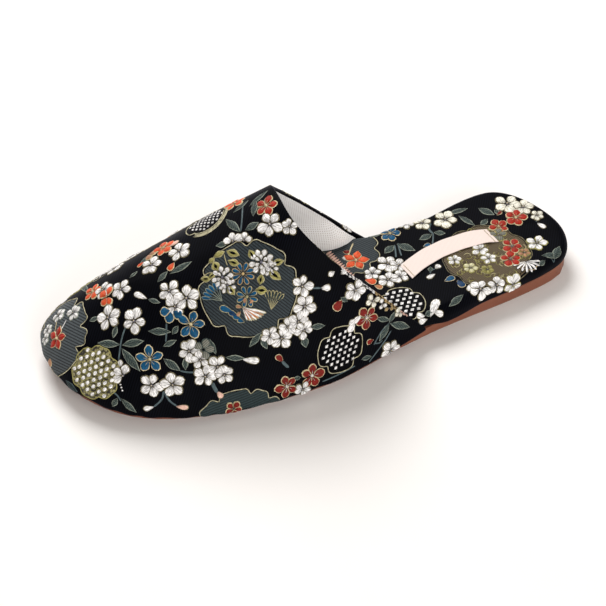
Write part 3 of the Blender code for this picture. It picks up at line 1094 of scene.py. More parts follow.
def weave_rim(cloth):
    """The ends of the floats that cross the turned edge, near side and far side."""
    # side, from along, to along, colour, width of a float
    for side, start, end, colour, width in (
            (1, 125.6, 111.2, "white", 1.7), (1, 110.8, 99.2, "gold", 1.3),
            (1, 98.8, 95.4, "blush", 1.8), (1, 136.0, 126.4, "olive_edge", 0.5),
            (-1, 114.0, 111.4, "white", 1.1), (-1, 124.4, 119.0, "yellow_gold", 0.7),
            (-1, 134.0, 128.8, "rim_gold", 0.7)):
        along = start
        while along > end:
            here, normal = rim_place(cloth, along, side)
            there = rim_place(cloth, along - 1.7, side)[0]
            way = there - here
            way = (way - normal * way.dot(normal)).normalized()
            place = Place(cloth, here, normal, way)
            shift = dice.uniform(-0.25, 0.25)
            lay(colour, BLADE, place, 2.3, width, dice.uniform(-14, 14), (0, shift), 0.16)
            if side > 0 and 97 < along < 126:
                lay(colour, BLADE, place, 2.2, 1.5, dice.uniform(-20, 20), (0.5, shift - 1.5), 0.18)
            along -= 1.5
    # small pale flowers just below the near edge: along, up, turn, size, colour, petals that show
    for along, up, turn, size, colour, shown in (
            (112.2, 37.2, 20, 3.8, "cream_silk", (0, 1, 2, 4)),
            (107.6, 33.4, 60, 2.8, "white", (0, 1, 3)), (104.0, 29.6, 10, 2.4, "gold", (0, 2)),
            (98.8, 25.0, 30, 2.8, "cream_silk", (0, 1, 3, 4))):
        blossom(cloth.place("outer", along, up, turn), size, colour, "olive_edge", of=shown)


def weave_far_side(cloth):
    """The inner side, in the same hand: roundels, blossoms, leaves and buds."""
    slate = cloth.place("inner", 200, 32, 15)
    roundel(slate, 15.5, (20, 90, 160, 235, 305), "slate", depth=2.2, width=6.5, swell=0.4)
    ringed_flower(slate, 4.8, (3, -3), over=OVER_ROUNDEL)
    ringed_flower(slate, 4.2, (-6, 4), "deep_blue", over=OVER_ROUNDEL)
    shell(slate, (6.4, 6.4), (4, 5), 40, 96, 7, over=OVER_ROUNDEL)
    blossom(slate.turned(30, -4, -7), 4.4, edge="pale_gold", over=OVER_ROUNDEL)
    low = cloth.place("inner", 140, 16, 0)
    roundel(low, 17, (30, 75, 120, 165, 330), "slate_teal", centre=(0, -10), depth=2.0, width=5.0, swell=0.3)
    blossom(low.turned(20, 2, -6), 5.0, "red", "cream_edge", "white", over=OVER_ROUNDEL)
    netted_ball(cloth.place("inner", 228, 22, 0), 10.6, 5)
    lay_blossoms(cloth, (
        ("inner", (
            (168, 40, 20, 5.4), (161, 34, 50, 5.0), (170, 31, 10, 4.8), (156, 52, 20, 5.2, "blue"),
            (148, 46, 40, 5.0), (140, 50, 0, 4.8), (178, 14, 30, 5.2), (170, 18, 5, 5.0),
            (214, 12, 20, 4.8), (120, 30, 30, 5.2), (113, 24, 10, 5.0), (125, 40, 20, 4.8, "orange"),
            (105, 14, 0, 5.0, "red"), (216, 40, 25, 4.8), (184, 48, 15, 5.2), (162, 12, 25, 4.8, "blue"),
            (243, 14, 25, 4.4), (100, 20, 25, 4.4),
        )),
        ("top", ((176, -30, 25, 5.0), (206, -26, 5, 4.8), (186, -33, 5, 4.6, "orange"))),
    ), "white")
    lay_leaves(cloth, (
        ("inner", (
            (173, 45, 180, 40, 3.0), (155, 40, 150, 35, 3.0), (158, 28, 152, 24, 3.2),
            (158, 28, 160, 20, 3.0), (186, 12, 193, 10, 2.8), (133, 36, 138, 41, 2.8),
            (128, 22, 121, 16, 3.2), (220, 30, 216, 34, 2.6), (108, 30, 101, 30, 2.6),
            (132, 58, 138, 62, 2.8), (208, 50, 200, 52, 2.8), (236, 34, 231, 36, 2.6),
        )),
    ))
    lay_buds(cloth, (
        ("inner", (
            (151, 60, 146, 60, 4.2, "white"), (193, 56, 188, 58, 4.0, "blush"),
            (206, 12, 201, 10, 3.8, "white"),
        )),
    ))


def weave_vamp(cloth):
    weave_low_roundel(cloth)
    weave_great_roundel(cloth)
    weave_toe_roundel(cloth)
    weave_net_roundel(cloth)
    weave_diamond_roundels(cloth)
    weave_leaves(cloth)
    weave_white_buds(cloth)
    weave_white_blossoms(cloth)
    weave_bright_blossoms(cloth)
    weave_rim(cloth)
    weave_far_side(cloth)


# ----------------------------------------------- the pattern on the footbed
# The footbed's chart is in mm from the heel end and mm across, the outer side positive.

def weave_bed_roundels(cloth):
    slate = cloth.place("top", 107, -24)
    roundel(slate, 19.2, (97, 130, 165, 25), "slate", depth=2.2, width=6.0, swell=0.4)
    star(cloth.place("top", 101.8, -14.5, 25), 6.3, "orange", "cream_edge", over=OVER_ROUNDEL)
    edged("red", "cream_edge", PETAL, cloth.place("top", 105.6, -22.4, 150), 3.4, 3.2, over=OVER_ROUNDEL)
    edged("white", "pale_edge", PETAL, cloth.place("top", 107.6, -18.6, 150), 3.2, 3.0, over=OVER_ROUNDEL)
    strand("cream_edge", cloth, (("top", 99, -26), ("top", 102, -22), ("top", 105, -17.5)), 0.9, 0.3)
    strand("maroon", cloth, (("top", 112.6, -24.4), ("top", 110.4, -14.6), ("top", 108.0, -4.8)), 3.9, 0.22)
    for k in range(13):
        at = cloth.place("top", 112.4 - 0.37 * k, -23.6 + 1.55 * k, 204)
        lay("blush", BLADE, at, 4.6, 1.35, 0, (-2.3, 0), 0.42)
    black = cloth.place("top", 91.8, 20, 0)
    roundel(black, 10.8, (215, 300, 120, 30), "night", depth=1.6, width=8.5)
    diamond_field(black, 11.3, pitch=3.2, size=2.7, tilt=-4)
    olive = cloth.place("top", 42, 3.5)
    notches = (25, 80, 150, 210, 275, 330)
    roundel(olive, 21.2, notches, "olive_ground", rim="olive_edge", depth=1.4, width=7, swell=0.4)


def weave_bed_garden(cloth):
    """The flowers in and round the olive roundel."""
    over = OVER_ROUNDEL
    for k in range(44):
        spot = swing(2.75 * math.sqrt(k + 1.5), 0, 137.5 * k, (42, 3.5))
        place = cloth.place("top", *spot, 97 * k)
        edged("olive_ground", "yellow_gold", BLADE, place, 3.6, 2.2, 0, (0, 0), LEAF_LIFT + 0.1, 0.06)
        curl = smooth_path([(0, 2.2), (1.8, 2.8), (3.2, 1.6), (2.6, 0.2)])
        run_line("pale_gold" if k % 3 else "yellow_gold", place, curl, 0.46, LINE_LIFT + 0.16)
    for along, across, turn, size, silk in (
            (43.5, -1.6, 20, 4.2, "white"), (42.0, 5.4, 50, 3.8, "white"),
            (52.7, 8.6, 10, 3.6, "pale_silk"), (57.6, 0.8, 30, 3.4, "white"),
            (28.2, 1.2, 15, 5.0, "vermilion"), (32.4, 9.4, 40, 5.2, "vermilion"),
            (31.5, -8.0, 30, 4.2, "grey_leaf"), (36.8, 22.6, 10, 5.4, "white"),
            (16.2, 3.4, 20, 5.2, "white"), (45.6, 12.4, 10, 3.0, "yellow_gold"),
            (24.6, 7.6, 5, 3.0, "tan")):
        edge = "cream_edge" if silk == "vermilion" else "yellow_gold"
        blossom(cloth.place("top", along, across, turn), size, silk, edge, over=over)
    tuft = cloth.place("top", 26.4, 13.4)
    shell(tuft, (7.2, 7.2), (0, 0), 84, 156, 8, ("white",), "night", over, 0.66)


def weave_bed_blossoms(cloth):
    lay_blossoms(cloth, (
        ("top", (
            (88.4, -7.4, 10, 5.6), (97.6, -3.6, 40, 4.2), (92.3, 3.0, 20, 5.0), (86, 2.6, 55, 4.2),
            (84, -4.6, 25, 4.6), (51, -27, 10, 6.0, "cream_silk"), (62.4, -28.6, 35, 5.0, "cream_silk"),
            (18.6, -26.6, 5, 6.6, "cream_silk"), (12.4, -21.6, 30, 5.2, "cream_silk"),
            (8.4, -13.8, 0, 3.4, "cream_silk"), (53.5, 25.6, 15, 5.6), (44.6, 27.4, 40, 4.6),
            (79.8, -26.6, 20, 5.2, "blue"), (28.8, -13.4, 60, 5.0, "vermilion"),
            (18.6, -16.2, 20, 5.4, "vermilion"), (70, -36, 10, 4.2),
        )),
    ))
    lay_buds(cloth, (
        ("top", (
            (102.4, -1.0, 98.0, 2.6, 5.6, "orange"), (99.6, 4.2, 96.6, 7.0, 3.8, "orange_soft"),
            (67.6, 12.6, 62.0, 11.2, 4.8, "blue"), (61.6, 13.8, 60.6, 19.4, 5.0, "deep_blue"),
            (69.8, 6.4, 74.6, 8.0, 3.6, "white"), (68.4, 3.2, 65.4, 1.2, 4.2, "white"),
            (68.2, -13.0, 64.2, -13.6, 3.4, "blue"), (57.0, 18.4, 59.4, 22.8, 3.8, "white"),
            (82.2, 30.6, 75.9, 21.6, 6.0, "white"), (79.6, 33.4, 75.4, 30.6, 4.6, "white"),
            (83.8, 35.0, 87.6, 32.4, 4.2, "white"), (82.8, 38.4, 86.4, 40.2, 3.8, "white"),
            (10.2, -9.6, 8.0, -4.6, 3.8, "white"), (26.4, -21.0, 23.4, -22.6, 2.6, "red"),
        )),
    ))


def weave_bed_leaves(cloth):
    lay_leaves(cloth, (
        ("top", (
            (80.8, -18.6, 87.2, -14.8, 3.6), (79.4, -19.0, 72.6, -11.8, 4.4),
            (60.6, -19.8, 68.0, -18.2, 3.4), (59.6, -20.6, 54.6, -18.2, 3.0),
            (48.8, -30.4, 37.6, -30.6, 2.6), (44.0, -27.6, 39.0, -18.0, 2.6),
            (33.0, -29.0, 27.4, -21.6, 3.8), (31.6, -20.2, 36.4, -17.4, 2.8),
            (62.7, 23.8, 70.6, 33.0, 3.0), (83.8, 34.6, 80.2, 33.2, 2.4),
            (26.0, -25.0, 25.0, -21.4, 2.0), (17.4, 15.6, 20.6, 20.4, 2.2), (71.6, 4.4, 70.0, 1.0, 2.0),
            (90.0, -33.0, 84.0, -34.0, 2.8), (104, 8, 101, 13, 2.8),
        )),
    ))
    lay_stems(cloth, (
        ("top", (
            (80.6, -18.6, 81.8, -14.2, 83.0, -10.4, 0.9), (78.6, -19.2, 79.6, -14.6, 80.2, -10.6, 0.9),
            (60.0, -20.4, 61.6, -16.4, 63.4, -13.0, 0.9), (58.6, -27.0, 60.8, -23.6, 60.2, -20.0, 1.3),
            (72.0, 5.6, 70.6, 3.4, 68.6, 3.2, 0.9),
        )),
    ))
    # a curled leaf round the heel corner, and its stems
    leaf(cloth, ("top", 17.8, 12.0), ("top", 9.6, 14.6), 3.4)
    leaf(cloth, ("top", 12.6, 15.4), ("top", 7.4, 8.6), 4.4, over=0.1)
    for colour, path, width in (
            ("stem", ((12.0, 14.4), (13.0, 16.4), (12.8, 18.4)), 0.7),
            ("stem", ((10.4, -10.2), (10.0, -11.8), (10.8, -15.0)), 0.7),
            ("gold", ((26.8, 20.6), (24.0, 18.8), (22.0, 21.0), (19.4, 19.4)), 0.5)):
        strand(colour, cloth, [("top", *spot) for spot in path], width)


def weave_bed_front(cloth):
    """The pattern goes on under the vamp, to the toe."""
    ball = cloth.place("top", 150, 20)
    roundel(ball, 12.5, (20, 110, 200, 290), "night", depth=1.7, width=8.5)
    diamond_field(ball, 12.4, tilt=14)
    ring = cloth.place("top", 186, -12)
    roundel(ring, 17.0, (10, 80, 150, 225, 300), "slate", depth=2.2, width=6.0, swell=0.4)
    ringed_flower(ring, 4.8, (4, -4), over=OVER_ROUNDEL)
    star(ring, 4.6, "red", "cream_edge", 20, (-6, 5), OVER_ROUNDEL)
    lay_blossoms(cloth, (
        ("top", (
            (122, 10, 20, 5.4), (128, 2, 40, 5.0), (134, -14, 10, 5.4, "red"), (143, -24, 30, 5.2),
            (151, -16, 15, 4.8), (163, 6, 25, 5.2, "blue"), (170, 28, 10, 5.2), (178, 22, 40, 4.8),
            (206, 14, 20, 5.4), (213, 22, 5, 4.8, "orange"), (216, -8, 30, 5.0), (224, 4, 12, 5.0),
            (128, 30, 25, 5.0, "orange"), (198, 30, 35, 4.6),
        )),
    ))
    lay_leaves(cloth, (
        ("top", (
            (124, -4, 118, -10, 3.2), (137, 4, 144, 2, 3.0), (158, -26, 165, -30, 3.0),
            (160, 14, 166, 18, 2.8), (190, 12, 197, 8, 3.2), (208, -18, 214, -22, 2.8),
            (140, 34, 146, 37, 2.6), (186, 32, 190, 36, 2.4),
        )),
    ))


def weave_bed(cloth):
    weave_bed_roundels(cloth)
    weave_bed_leaves(cloth)
    weave_bed_blossoms(cloth)
    weave_bed_garden(cloth)
    weave_bed_front(cloth)


# -------------------------------------------------------------------- finishes

def shade(red, green, blue):
    """A colour given as the eye sees it, 0 to 255, turned into linear light."""
    def linear(value):
        part = value / 255
        return part / 12.92 if part <= 0.04045 else ((part + 0.055) / 1.055) ** 2.4
    return (linear(red), linear(green), linear(blue), 1.0)


def add(tree, kind, **settings):
    made = tree.nodes.new("ShaderNode" + kind)
    for name, value in settings.items():
        setattr(made, name, value)
    return made


def fill(node, **values):
    for name, value in values.items():
        node.inputs[name.replace("_", " ")].default_value = value
    return node


def give(tree, socket, value):
    """Sets a socket to a constant, or links an output to it."""
    if isinstance(value, (int, float, tuple)):
        socket.default_value = value
    else:
        tree.links.new(value, socket)


def noise_of(tree, place, scale, detail=3.0):
    """Cloudy noise at a place."""
    made = fill(add(tree, "TexNoise"), Scale=scale, Detail=detail)
    tree.links.new(place, made.inputs["Vector"])
    return made.outputs[0]


def ramp_of(tree, value, low, high, bottom=0.0, top=1.0):
    """A value spread between two limits, and held at them."""
    made = fill(add(tree, "MapRange"), From_Min=low, From_Max=high, To_Min=bottom, To_Max=top)
    tree.links.new(value, made.inputs["Value"])
    return made.outputs[0]


def sum_of(tree, operation, *terms):
    """A math node on numbers or outputs."""
    made = add(tree, "Math", operation=operation)
    for socket, value in zip(made.inputs, terms):
        give(tree, socket, value)
    return made.outputs[0]


def blend_of(tree, mask, dark, light):
    """A colour mix; each of dark and light is a colour or an output."""
    made = add(tree, "Mix", data_type="RGBA")
    for index, value in ((0, mask), (6, dark), (7, light)):
        give(tree, made.inputs[index], value)
    return made.outputs[2]


def new_group(name, inputs, outputs):
    kinds = {"vector": "NodeSocketVector", "value": "NodeSocketFloat", "colour": "NodeSocketColor"}
    group = bpy.data.node_groups.new(name, "ShaderNodeTree")
    for label, kind in inputs:
        group.interface.new_socket(label, in_out="INPUT", socket_type=kinds[kind])
    for label, kind in outputs:
        group.interface.new_socket(label, in_out="OUTPUT", socket_type=kinds[kind])
    return group, group.nodes.new("NodeGroupInput"), group.nodes.new("NodeGroupOutput")


def use_group(tree, group, **values):
    made = tree.nodes.new("ShaderNodeGroup")
    made.node_tree = group
    for name, value in values.items():
        give(tree, made.inputs[name.replace("_", " ")], value)
    return made


def make_silk_floats():
    """Long floats of silk: streaks that run along each ornament, and their height."""
    group, given, result = new_group(
        "silk_floats",
        (("Flat place", "vector"), ("Tone", "value"), ("Light", "colour"), ("Dark", "colour"),
         ("Streaks", "value")),
        (("Colour", "colour"), ("Height", "value")))
    link = group.links.new
    tone = given.outputs["Tone"]
    apart = add(group, "SeparateXYZ")
    link(given.outputs["Flat place"], apart.inputs[0])
    noises = []
    for along, across in ((0.5, 1.9), (0.8, 5.2)):
        place = add(group, "CombineXYZ")
        link(sum_of(group, "MULTIPLY", apart.outputs[0], along), place.inputs[0])
        link(sum_of(group, "MULTIPLY", apart.outputs[1], across), place.inputs[1])
        link(sum_of(group, "MULTIPLY", tone, 61.0), place.inputs[2])
        noises.append(noise_of(group, place.outputs[0], 1.0, 2.0))
    broad, fine = noises
    spread = ramp_of(group, broad, 0.36, 0.60)
    mask = sum_of(group, "MULTIPLY", sum_of(group, "SUBTRACT", 1.0, spread), given.outputs["Streaks"])
    mixed = blend_of(group, mask, given.outputs["Light"], given.outputs["Dark"])
    lift = sum_of(group, "MULTIPLY_ADD", tone, 0.14, 0.52)
    near_foot = ramp_of(group, apart.outputs[0], 0.3, 2.4, 0.66, 1.0)
    level = sum_of(group, "MULTIPLY", sum_of(group, "MULTIPLY_ADD", fine, 0.95, lift), near_foot)
    bright = add(group, "HueSaturation")
    link(mixed, bright.inputs["Color"])
    link(level, bright.inputs["Value"])
    link(bright.outputs[0], result.inputs["Colour"])
    link(sum_of(group, "ADD", fine, spread), result.inputs["Height"])
    return group


def make_satin_ribs():
    """The fine slanting rib of a satin ground, from places in mm."""
    group, given, result = new_group(
        "satin_ribs", (("Place", "vector"), ("Pitch mm", "value"), ("Slant", "vector")),
        (("Rib", "value"), ("Mottle", "value")))
    link = group.links.new
    along = add(group, "VectorMath", operation="DOT_PRODUCT")
    link(given.outputs["Place"], along.inputs[0])
    link(given.outputs["Slant"], along.inputs[1])
    turns = sum_of(group, "DIVIDE", along.outputs["Value"], given.outputs["Pitch mm"])
    wave = sum_of(group, "SINE", sum_of(group, "MULTIPLY", turns, 2 * math.pi))
    link(sum_of(group, "MULTIPLY_ADD", wave, 0.5, 0.5), result.inputs["Rib"])
    link(noise_of(group, given.outputs["Place"], 0.09, 4.0), result.inputs["Mottle"])
    return group


def new_finish(name):
    material = bpy.data.materials.new(name)
    material.use_nodes = True
    tree = material.node_tree
    return material, tree, tree.nodes["Principled BSDF"]


def surface(tree, shader, colour, height, strength, distance, **constants):
    """Gives a finish its colour, its bump and its constants."""
    tree.links.new(colour, shader.inputs["Base Color"])
    fill(shader, **constants)
    bump = fill(add(tree, "Bump"), Strength=strength, Distance=distance)
    tree.links.new(height, bump.inputs["Height"])
    tree.links.new(bump.outputs[0], shader.inputs["Normal"])


def place_in_mm(tree):
    """The piece's own place, in mm."""
    here = add(tree, "TexCoord")
    scaled = add(tree, "VectorMath", operation="SCALE")
    tree.links.new(here.outputs["Object"], scaled.inputs[0])
    scaled.inputs["Scale"].default_value = 1000.0
    return scaled.outputs[0]


def silk_finish(name, light, dark, streaks):
    material, tree, shader = new_finish(name)
    flat = add(tree, "UVMap", uv_map="flat_place")
    tone = add(tree, "Attribute", attribute_name="tone")
    floats = use_group(tree, GROUPS["floats"], Flat_place=flat.outputs[0], Tone=tone.outputs["Fac"],
                       Light=shade(*light), Dark=shade(*dark), Streaks=streaks)
    surface(tree, shader, floats.outputs["Colour"], floats.outputs["Height"], 0.55, 0.12 * MM,
            Roughness=0.55, Sheen_Weight=0.06, Sheen_Roughness=0.4, Specular_IOR_Level=0.2)
    return material


def hatched_finish(name, light, dark, line, pitch, turn):
    """A ground woven on the slant: a hatch of darker lines over mottled silk."""
    material, tree, shader = new_finish(name)
    flat = add(tree, "UVMap", uv_map="flat_place").outputs[0]
    ribs = use_group(tree, GROUPS["ribs"], Place=flat, Pitch_mm=pitch, Slant=(*swing(1.0, 0.0, turn), 0.0))
    mottle = sum_of(tree, "MULTIPLY_ADD", noise_of(tree, flat, 1.7), 1.6, -0.3)
    ground = blend_of(tree, mottle, shade(*dark), shade(*light))
    narrow = sum_of(tree, "POWER", ribs.outputs["Rib"], 2.3)
    hatched = blend_of(tree, sum_of(tree, "MULTIPLY", narrow, 0.9), ground, shade(*line))
    surface(tree, shader, hatched, ribs.outputs["Rib"], 0.35, 0.1 * MM,
            Roughness=0.6, Sheen_Weight=0.05, Sheen_Roughness=0.4, Specular_IOR_Level=0.15)
    return material


def net_ground_finish(name, light, dark, gap):
    """Netted gold: small light knots between dark gaps."""
    material, tree, shader = new_finish(name)
    flat = add(tree, "UVMap", uv_map="flat_place").outputs[0]
    cells = fill(add(tree, "TexVoronoi"), Scale=0.75)
    tree.links.new(flat, cells.inputs["Vector"])
    spread = ramp_of(tree, cells.outputs["Distance"], 0.25, 0.62)
    ground = blend_of(tree, noise_of(tree, flat, 1.3), shade(*light), shade(*dark))
    surface(tree, shader, blend_of(tree, spread, ground, shade(*gap)), spread, 0.5, 0.2 * MM,
            Roughness=0.5, Sheen_Weight=0.15, Specular_IOR_Level=0.4)
    return material


def satin_finish(name, base, painted_rib_highlight):
    """The near-black satin ground, with a painted blue highlight on its ribs, broken up by mottle."""
    material, tree, shader = new_finish(name)
    ribs = use_group(tree, GROUPS["ribs"], Place=place_in_mm(tree), Pitch_mm=1.1, Slant=(0.84, -0.48, 0.25))
    # painted highlight: the rib crests, broken up by mottle, take the blue highlight colour in place of light
    # catching them
    rib_highlight_mask = sum_of(tree, "MULTIPLY", ribs.outputs["Rib"], ribs.outputs["Mottle"])
    rough = sum_of(tree, "MULTIPLY_ADD", ribs.outputs["Mottle"], 0.18, 0.44)
    tree.links.new(rough, shader.inputs["Roughness"])
    colour = blend_of(tree, rib_highlight_mask, shade(*base), shade(*painted_rib_highlight))
    fill(shader, Sheen_Tint=shade(150, 165, 225))
    surface(tree, shader, colour, ribs.outputs["Rib"], 0.25, 0.06 * MM,
            Sheen_Weight=0.06, Sheen_Roughness=0.35, Specular_IOR_Level=0.025)
    return material


def net_lining_finish():
    """Warm grey spacer net: rows of small shaded holes."""
    material, tree, shader = new_finish("lining_net")
    flat = add(tree, "UVMap", uv_map="net_place")
    apart = add(tree, "SeparateXYZ")
    tree.links.new(flat.outputs[0], apart.inputs[0])
    waves = []
    for output, pitch in ((apart.outputs[0], 1.05), (apart.outputs[1], 0.95)):
        turns = sum_of(tree, "MULTIPLY", output, 2 * math.pi / pitch)
        waves.append(sum_of(tree, "MULTIPLY_ADD", sum_of(tree, "SINE", turns), 0.5, 0.5))
    mask = ramp_of(tree, sum_of(tree, "MULTIPLY", *waves), 0.30, 0.75)
    net = blend_of(tree, mask, shade(255, 255, 254), shade(214, 208, 204))
    surface(tree, shader, net, sum_of(tree, "SUBTRACT", 1.0, mask), 0.6, 0.2 * MM,
            Roughness=0.8, Sheen_Weight=0.5, Sheen_Roughness=0.6, Specular_IOR_Level=0.25)
    return material


def rubber_finish():
    """Brown sole rubber: fine grain, paler scuffs low on its edge, and a painted highlight along its upper
    edge.
    """
    material, tree, shader = new_finish("brown_rubber")
    here = place_in_mm(tree)
    grain = noise_of(tree, here, 1.8, 4.0)
    broad = noise_of(tree, here, 0.06)
    base = blend_of(tree, broad, shade(106, 56, 36), shade(134, 78, 54))
    apart = add(tree, "SeparateXYZ")
    tree.links.new(here, apart.inputs[0])
    up = apart.outputs[2]
    scuff = sum_of(tree, "MULTIPLY", ramp_of(tree, up, 1.6, 0.2), grain)
    # painted highlight: the top of the sole's edge, where its bevel would catch the light, is paled where the
    # broad noise is high
    painted_edge_highlight = sum_of(tree, "MULTIPLY", ramp_of(tree, up, 7.0, 7.7), broad)
    base_with_edge_highlight = blend_of(tree, painted_edge_highlight, base, shade(206, 150, 118))
    tree.links.new(sum_of(tree, "MULTIPLY_ADD", grain, 0.2, 0.5), shader.inputs["Roughness"])
    surface(tree, shader, blend_of(tree, scuff, base_with_edge_highlight, shade(158, 128, 112)), grain, 0.3, 0.12 * MM)
    return material


def tape_finish():
    """Cream tape: a close weave of fine ribs both ways."""
    material, tree, shader = new_finish("cream_tape")
    here = place_in_mm(tree)
    warp = use_group(tree, GROUPS["ribs"], Place=here, Pitch_mm=0.45, Slant=(0.28, 0.96, 0.0))
    weft = use_group(tree, GROUPS["ribs"], Place=here, Pitch_mm=0.6, Slant=(0.96, -0.28, 0.0))
    weave = sum_of(tree, "MULTIPLY", warp.outputs["Rib"], weft.outputs["Rib"])
    tone = blend_of(tree, weave, shade(226, 208, 200), shade(250, 238, 232))
    surface(tree, shader, tone, weave, 0.4, 0.1 * MM,
            Roughness=0.65, Sheen_Weight=0.2, Specular_IOR_Level=0.3)
    return material


def floor_finish():
    material, tree, shader = new_finish("pale_floor")
    noise = noise_of(tree, place_in_mm(tree), 0.02)
    tone = blend_of(tree, noise, (0.90, 0.885, 0.87, 1), (0.93, 0.92, 0.91, 1))
    tree.links.new(tone, shader.inputs["Base Color"])
    fill(shader, Roughness=0.75, Specular_IOR_Level=0.2)
    return material


GROUPS = {"floats": make_silk_floats(), "ribs": make_satin_ribs()}

# thread: light colour, dark colour of its streaks, how strongly they show
SILKS = {
    "white": ((251, 250, 249), (98, 96, 95), 0.64),
    "pale_silk": ((222, 218, 180), (140, 136, 92), 0.6),
    "blush": ((226, 188, 172), (166, 122, 106), 0.5),
    "red": ((126, 20, 8), (70, 9, 4), 0.6),
    "vermilion": ((170, 38, 20), (106, 20, 10), 0.65),
    "cream_silk": ((248, 246, 232), (130, 126, 108), 0.6),
    "orange": ((220, 88, 44), (160, 50, 24), 0.6),
    "orange_soft": ((196, 130, 88), (130, 80, 50), 0.6),
    "tan": ((186, 138, 106), (120, 84, 62), 0.6),
    "maroon": ((84, 36, 26), (44, 18, 14), 0.6),
    "blue": ((4, 82, 122), (1, 42, 66), 0.65),
    "deep_blue": ((12, 58, 98), (4, 26, 50), 0.65),
    "yellow_gold": ((166, 160, 96), (92, 87, 44), 0.75),
    "gold": ((186, 160, 112), (118, 94, 58), 0.6),
    "pale_gold": ((178, 170, 130), (106, 100, 68), 0.6),
    "rim_gold": ((194, 188, 156), (92, 88, 68), 0.8),
    "cream_edge": ((214, 200, 160), (140, 122, 92), 0.55),
    "olive_edge": ((124, 116, 88), (48, 44, 32), 0.8),
    "pale_edge": ((146, 154, 140), (74, 82, 76), 0.75),
    "vein": ((46, 54, 54), (24, 30, 32), 0.6),
    "stem": ((82, 98, 102), (44, 57, 61), 0.7),
    "heart": ((108, 106, 116), (62, 60, 70), 0.6),
}

# grounds woven on the slant: light, dark and line colours, pitch in mm, turn
HATCHED = {
    "slate": ((62, 72, 77), (34, 42, 46), (8, 11, 14), 1.2, 38),
    "slate_pale": ((96, 104, 108), (56, 62, 66), (14, 18, 21), 1.3, 30),
    "slate_teal": ((50, 67, 69), (28, 40, 42), (12, 18, 20), 1.2, 100),
    "olive_ground": ((112, 98, 74), (78, 67, 48), (40, 33, 22), 0.95, 20),
    "leaf_green": ((86, 102, 98), (42, 54, 53), (14, 20, 20), 0.85, 62),
    "grey_leaf": ((150, 150, 140), (100, 102, 92), (66, 68, 60), 0.85, 62),
}


def thread_finish(colour):
    name = colour + "_silk"
    if colour in HATCHED:
        return hatched_finish(name, *HATCHED[colour])
    if colour == "olive_net":
        return net_ground_finish(name, (186, 180, 128), (120, 112, 72), (30, 26, 16))
    if colour == "night":
        # the second colour is the painted highlight on the satin's ribs
        return satin_finish(name, (3, 3, 4), (13, 13, 17))
    return silk_finish(name, *SILKS[colour])


FINISHES = {}


def finish_threads(cloth):
    """Makes one piece of all the stitches of each colour on a cloth."""
    for colour, thread in sorted(cloth.threads.items()):
        mesh = bpy.data.meshes.new(f"{cloth.name}_{colour}")
        mesh.from_pydata(thread["points"], [], thread["faces"])
        flat = mesh.uv_layers.new(name="flat_place")
        for loop in mesh.loops:
            flat.data[loop.index].uv = thread["flat"][loop.vertex_index]
        tone = mesh.attributes.new("tone", "FLOAT", "POINT")
        tone.data.foreach_set("value", thread["tone"])
        mesh.polygons.foreach_set("use_smooth", [True] * len(mesh.polygons))
        piece = bpy.data.objects.new(mesh.name, mesh)
        bpy.context.scene.collection.objects.link(piece)
        if colour not in FINISHES:
            FINISHES[colour] = thread_finish(colour)
        finish_piece(piece, FINISHES[colour])


def map_net(lining):
    """Lays the net's own mm on the lining: along the foot, and round it."""
    flat = lining.data.uv_layers.new(name="net_place")
    for loop in lining.data.loops:
        point = lining.data.vertices[loop.vertex_index].co
        hub = hub_of(point)
        away = point - hub
        angle = math.atan2(away.y, away.z)
        if point.x > FAN_X:
            angle = math.atan2(away.y, math.hypot(away.z, away.x))
        flat.data[loop.index].uv = (point.x / MM, angle * 44.0)


# ----------------------------------------------------------------- the label

LABEL_HALF = 5.0
LABEL_ENDS = ((82.3, 1.2), (34.2, -8.4))
LABEL_BOW = 4.9
LABEL_LIFT = 0.25
LABEL_RIPPLE = 0.10
LABEL_FOLD = 0.35
LABEL_SLANT = (-0.215, 0.977)


def make_label(bed):
    """A bare cream tape, bowed toward the inner side, with its ends cut on the slant."""
    put_down()
    bpy.ops.mesh.primitive_grid_add(x_subdivisions=52, y_subdivisions=8, size=2.0)
    tape = bpy.context.object
    tape.name = "label_tape"
    start = Vector(LABEL_ENDS[0])
    chord = Vector(LABEL_ENDS[1]) - start
    side = Vector((-chord.y, chord.x)).normalized()
    slant = Vector(LABEL_SLANT)
    for vertex in tape.data.vertices:
        t = (vertex.co.x + 1) / 2
        middle = start + chord * t + side * (LABEL_BOW * 4 * t * (1 - t))
        flat = middle - slant * (vertex.co.y * LABEL_HALF)
        point = bed.spot("top", flat.x, flat.y)[0]
        fold = LABEL_FOLD * math.exp(-((t - 0.86) / 0.09) ** 2)
        ripple = LABEL_RIPPLE * math.sin(26 * t) * vertex.co.y + fold
        held = min(1.0, 12 * t, 12 * (1 - t))
        lift = LABEL_LIFT + held * (LABEL_LIFT + ripple)
        vertex.co = Vector((HEEL_X + flat.x * MM, flat.y * MM, point.z + lift * MM))
    into_edit(tape)
    bpy.ops.mesh.select_all(action="SELECT")
    bpy.ops.mesh.normals_make_consistent(inside=False)
    put_down()
    if tape.data.polygons[0].normal.z < 0:
        into_edit(tape)
        bpy.ops.mesh.select_all(action="SELECT")
        bpy.ops.mesh.flip_normals()
        put_down()
    work_in(tape, "SOLIDIFY", thickness=0.35 * MM, offset=1.0)
    pick_up(tape)
    bpy.ops.object.shade_smooth_by_angle(angle=math.radians(40))
    finish_piece(tape, tape_finish())
    return tape


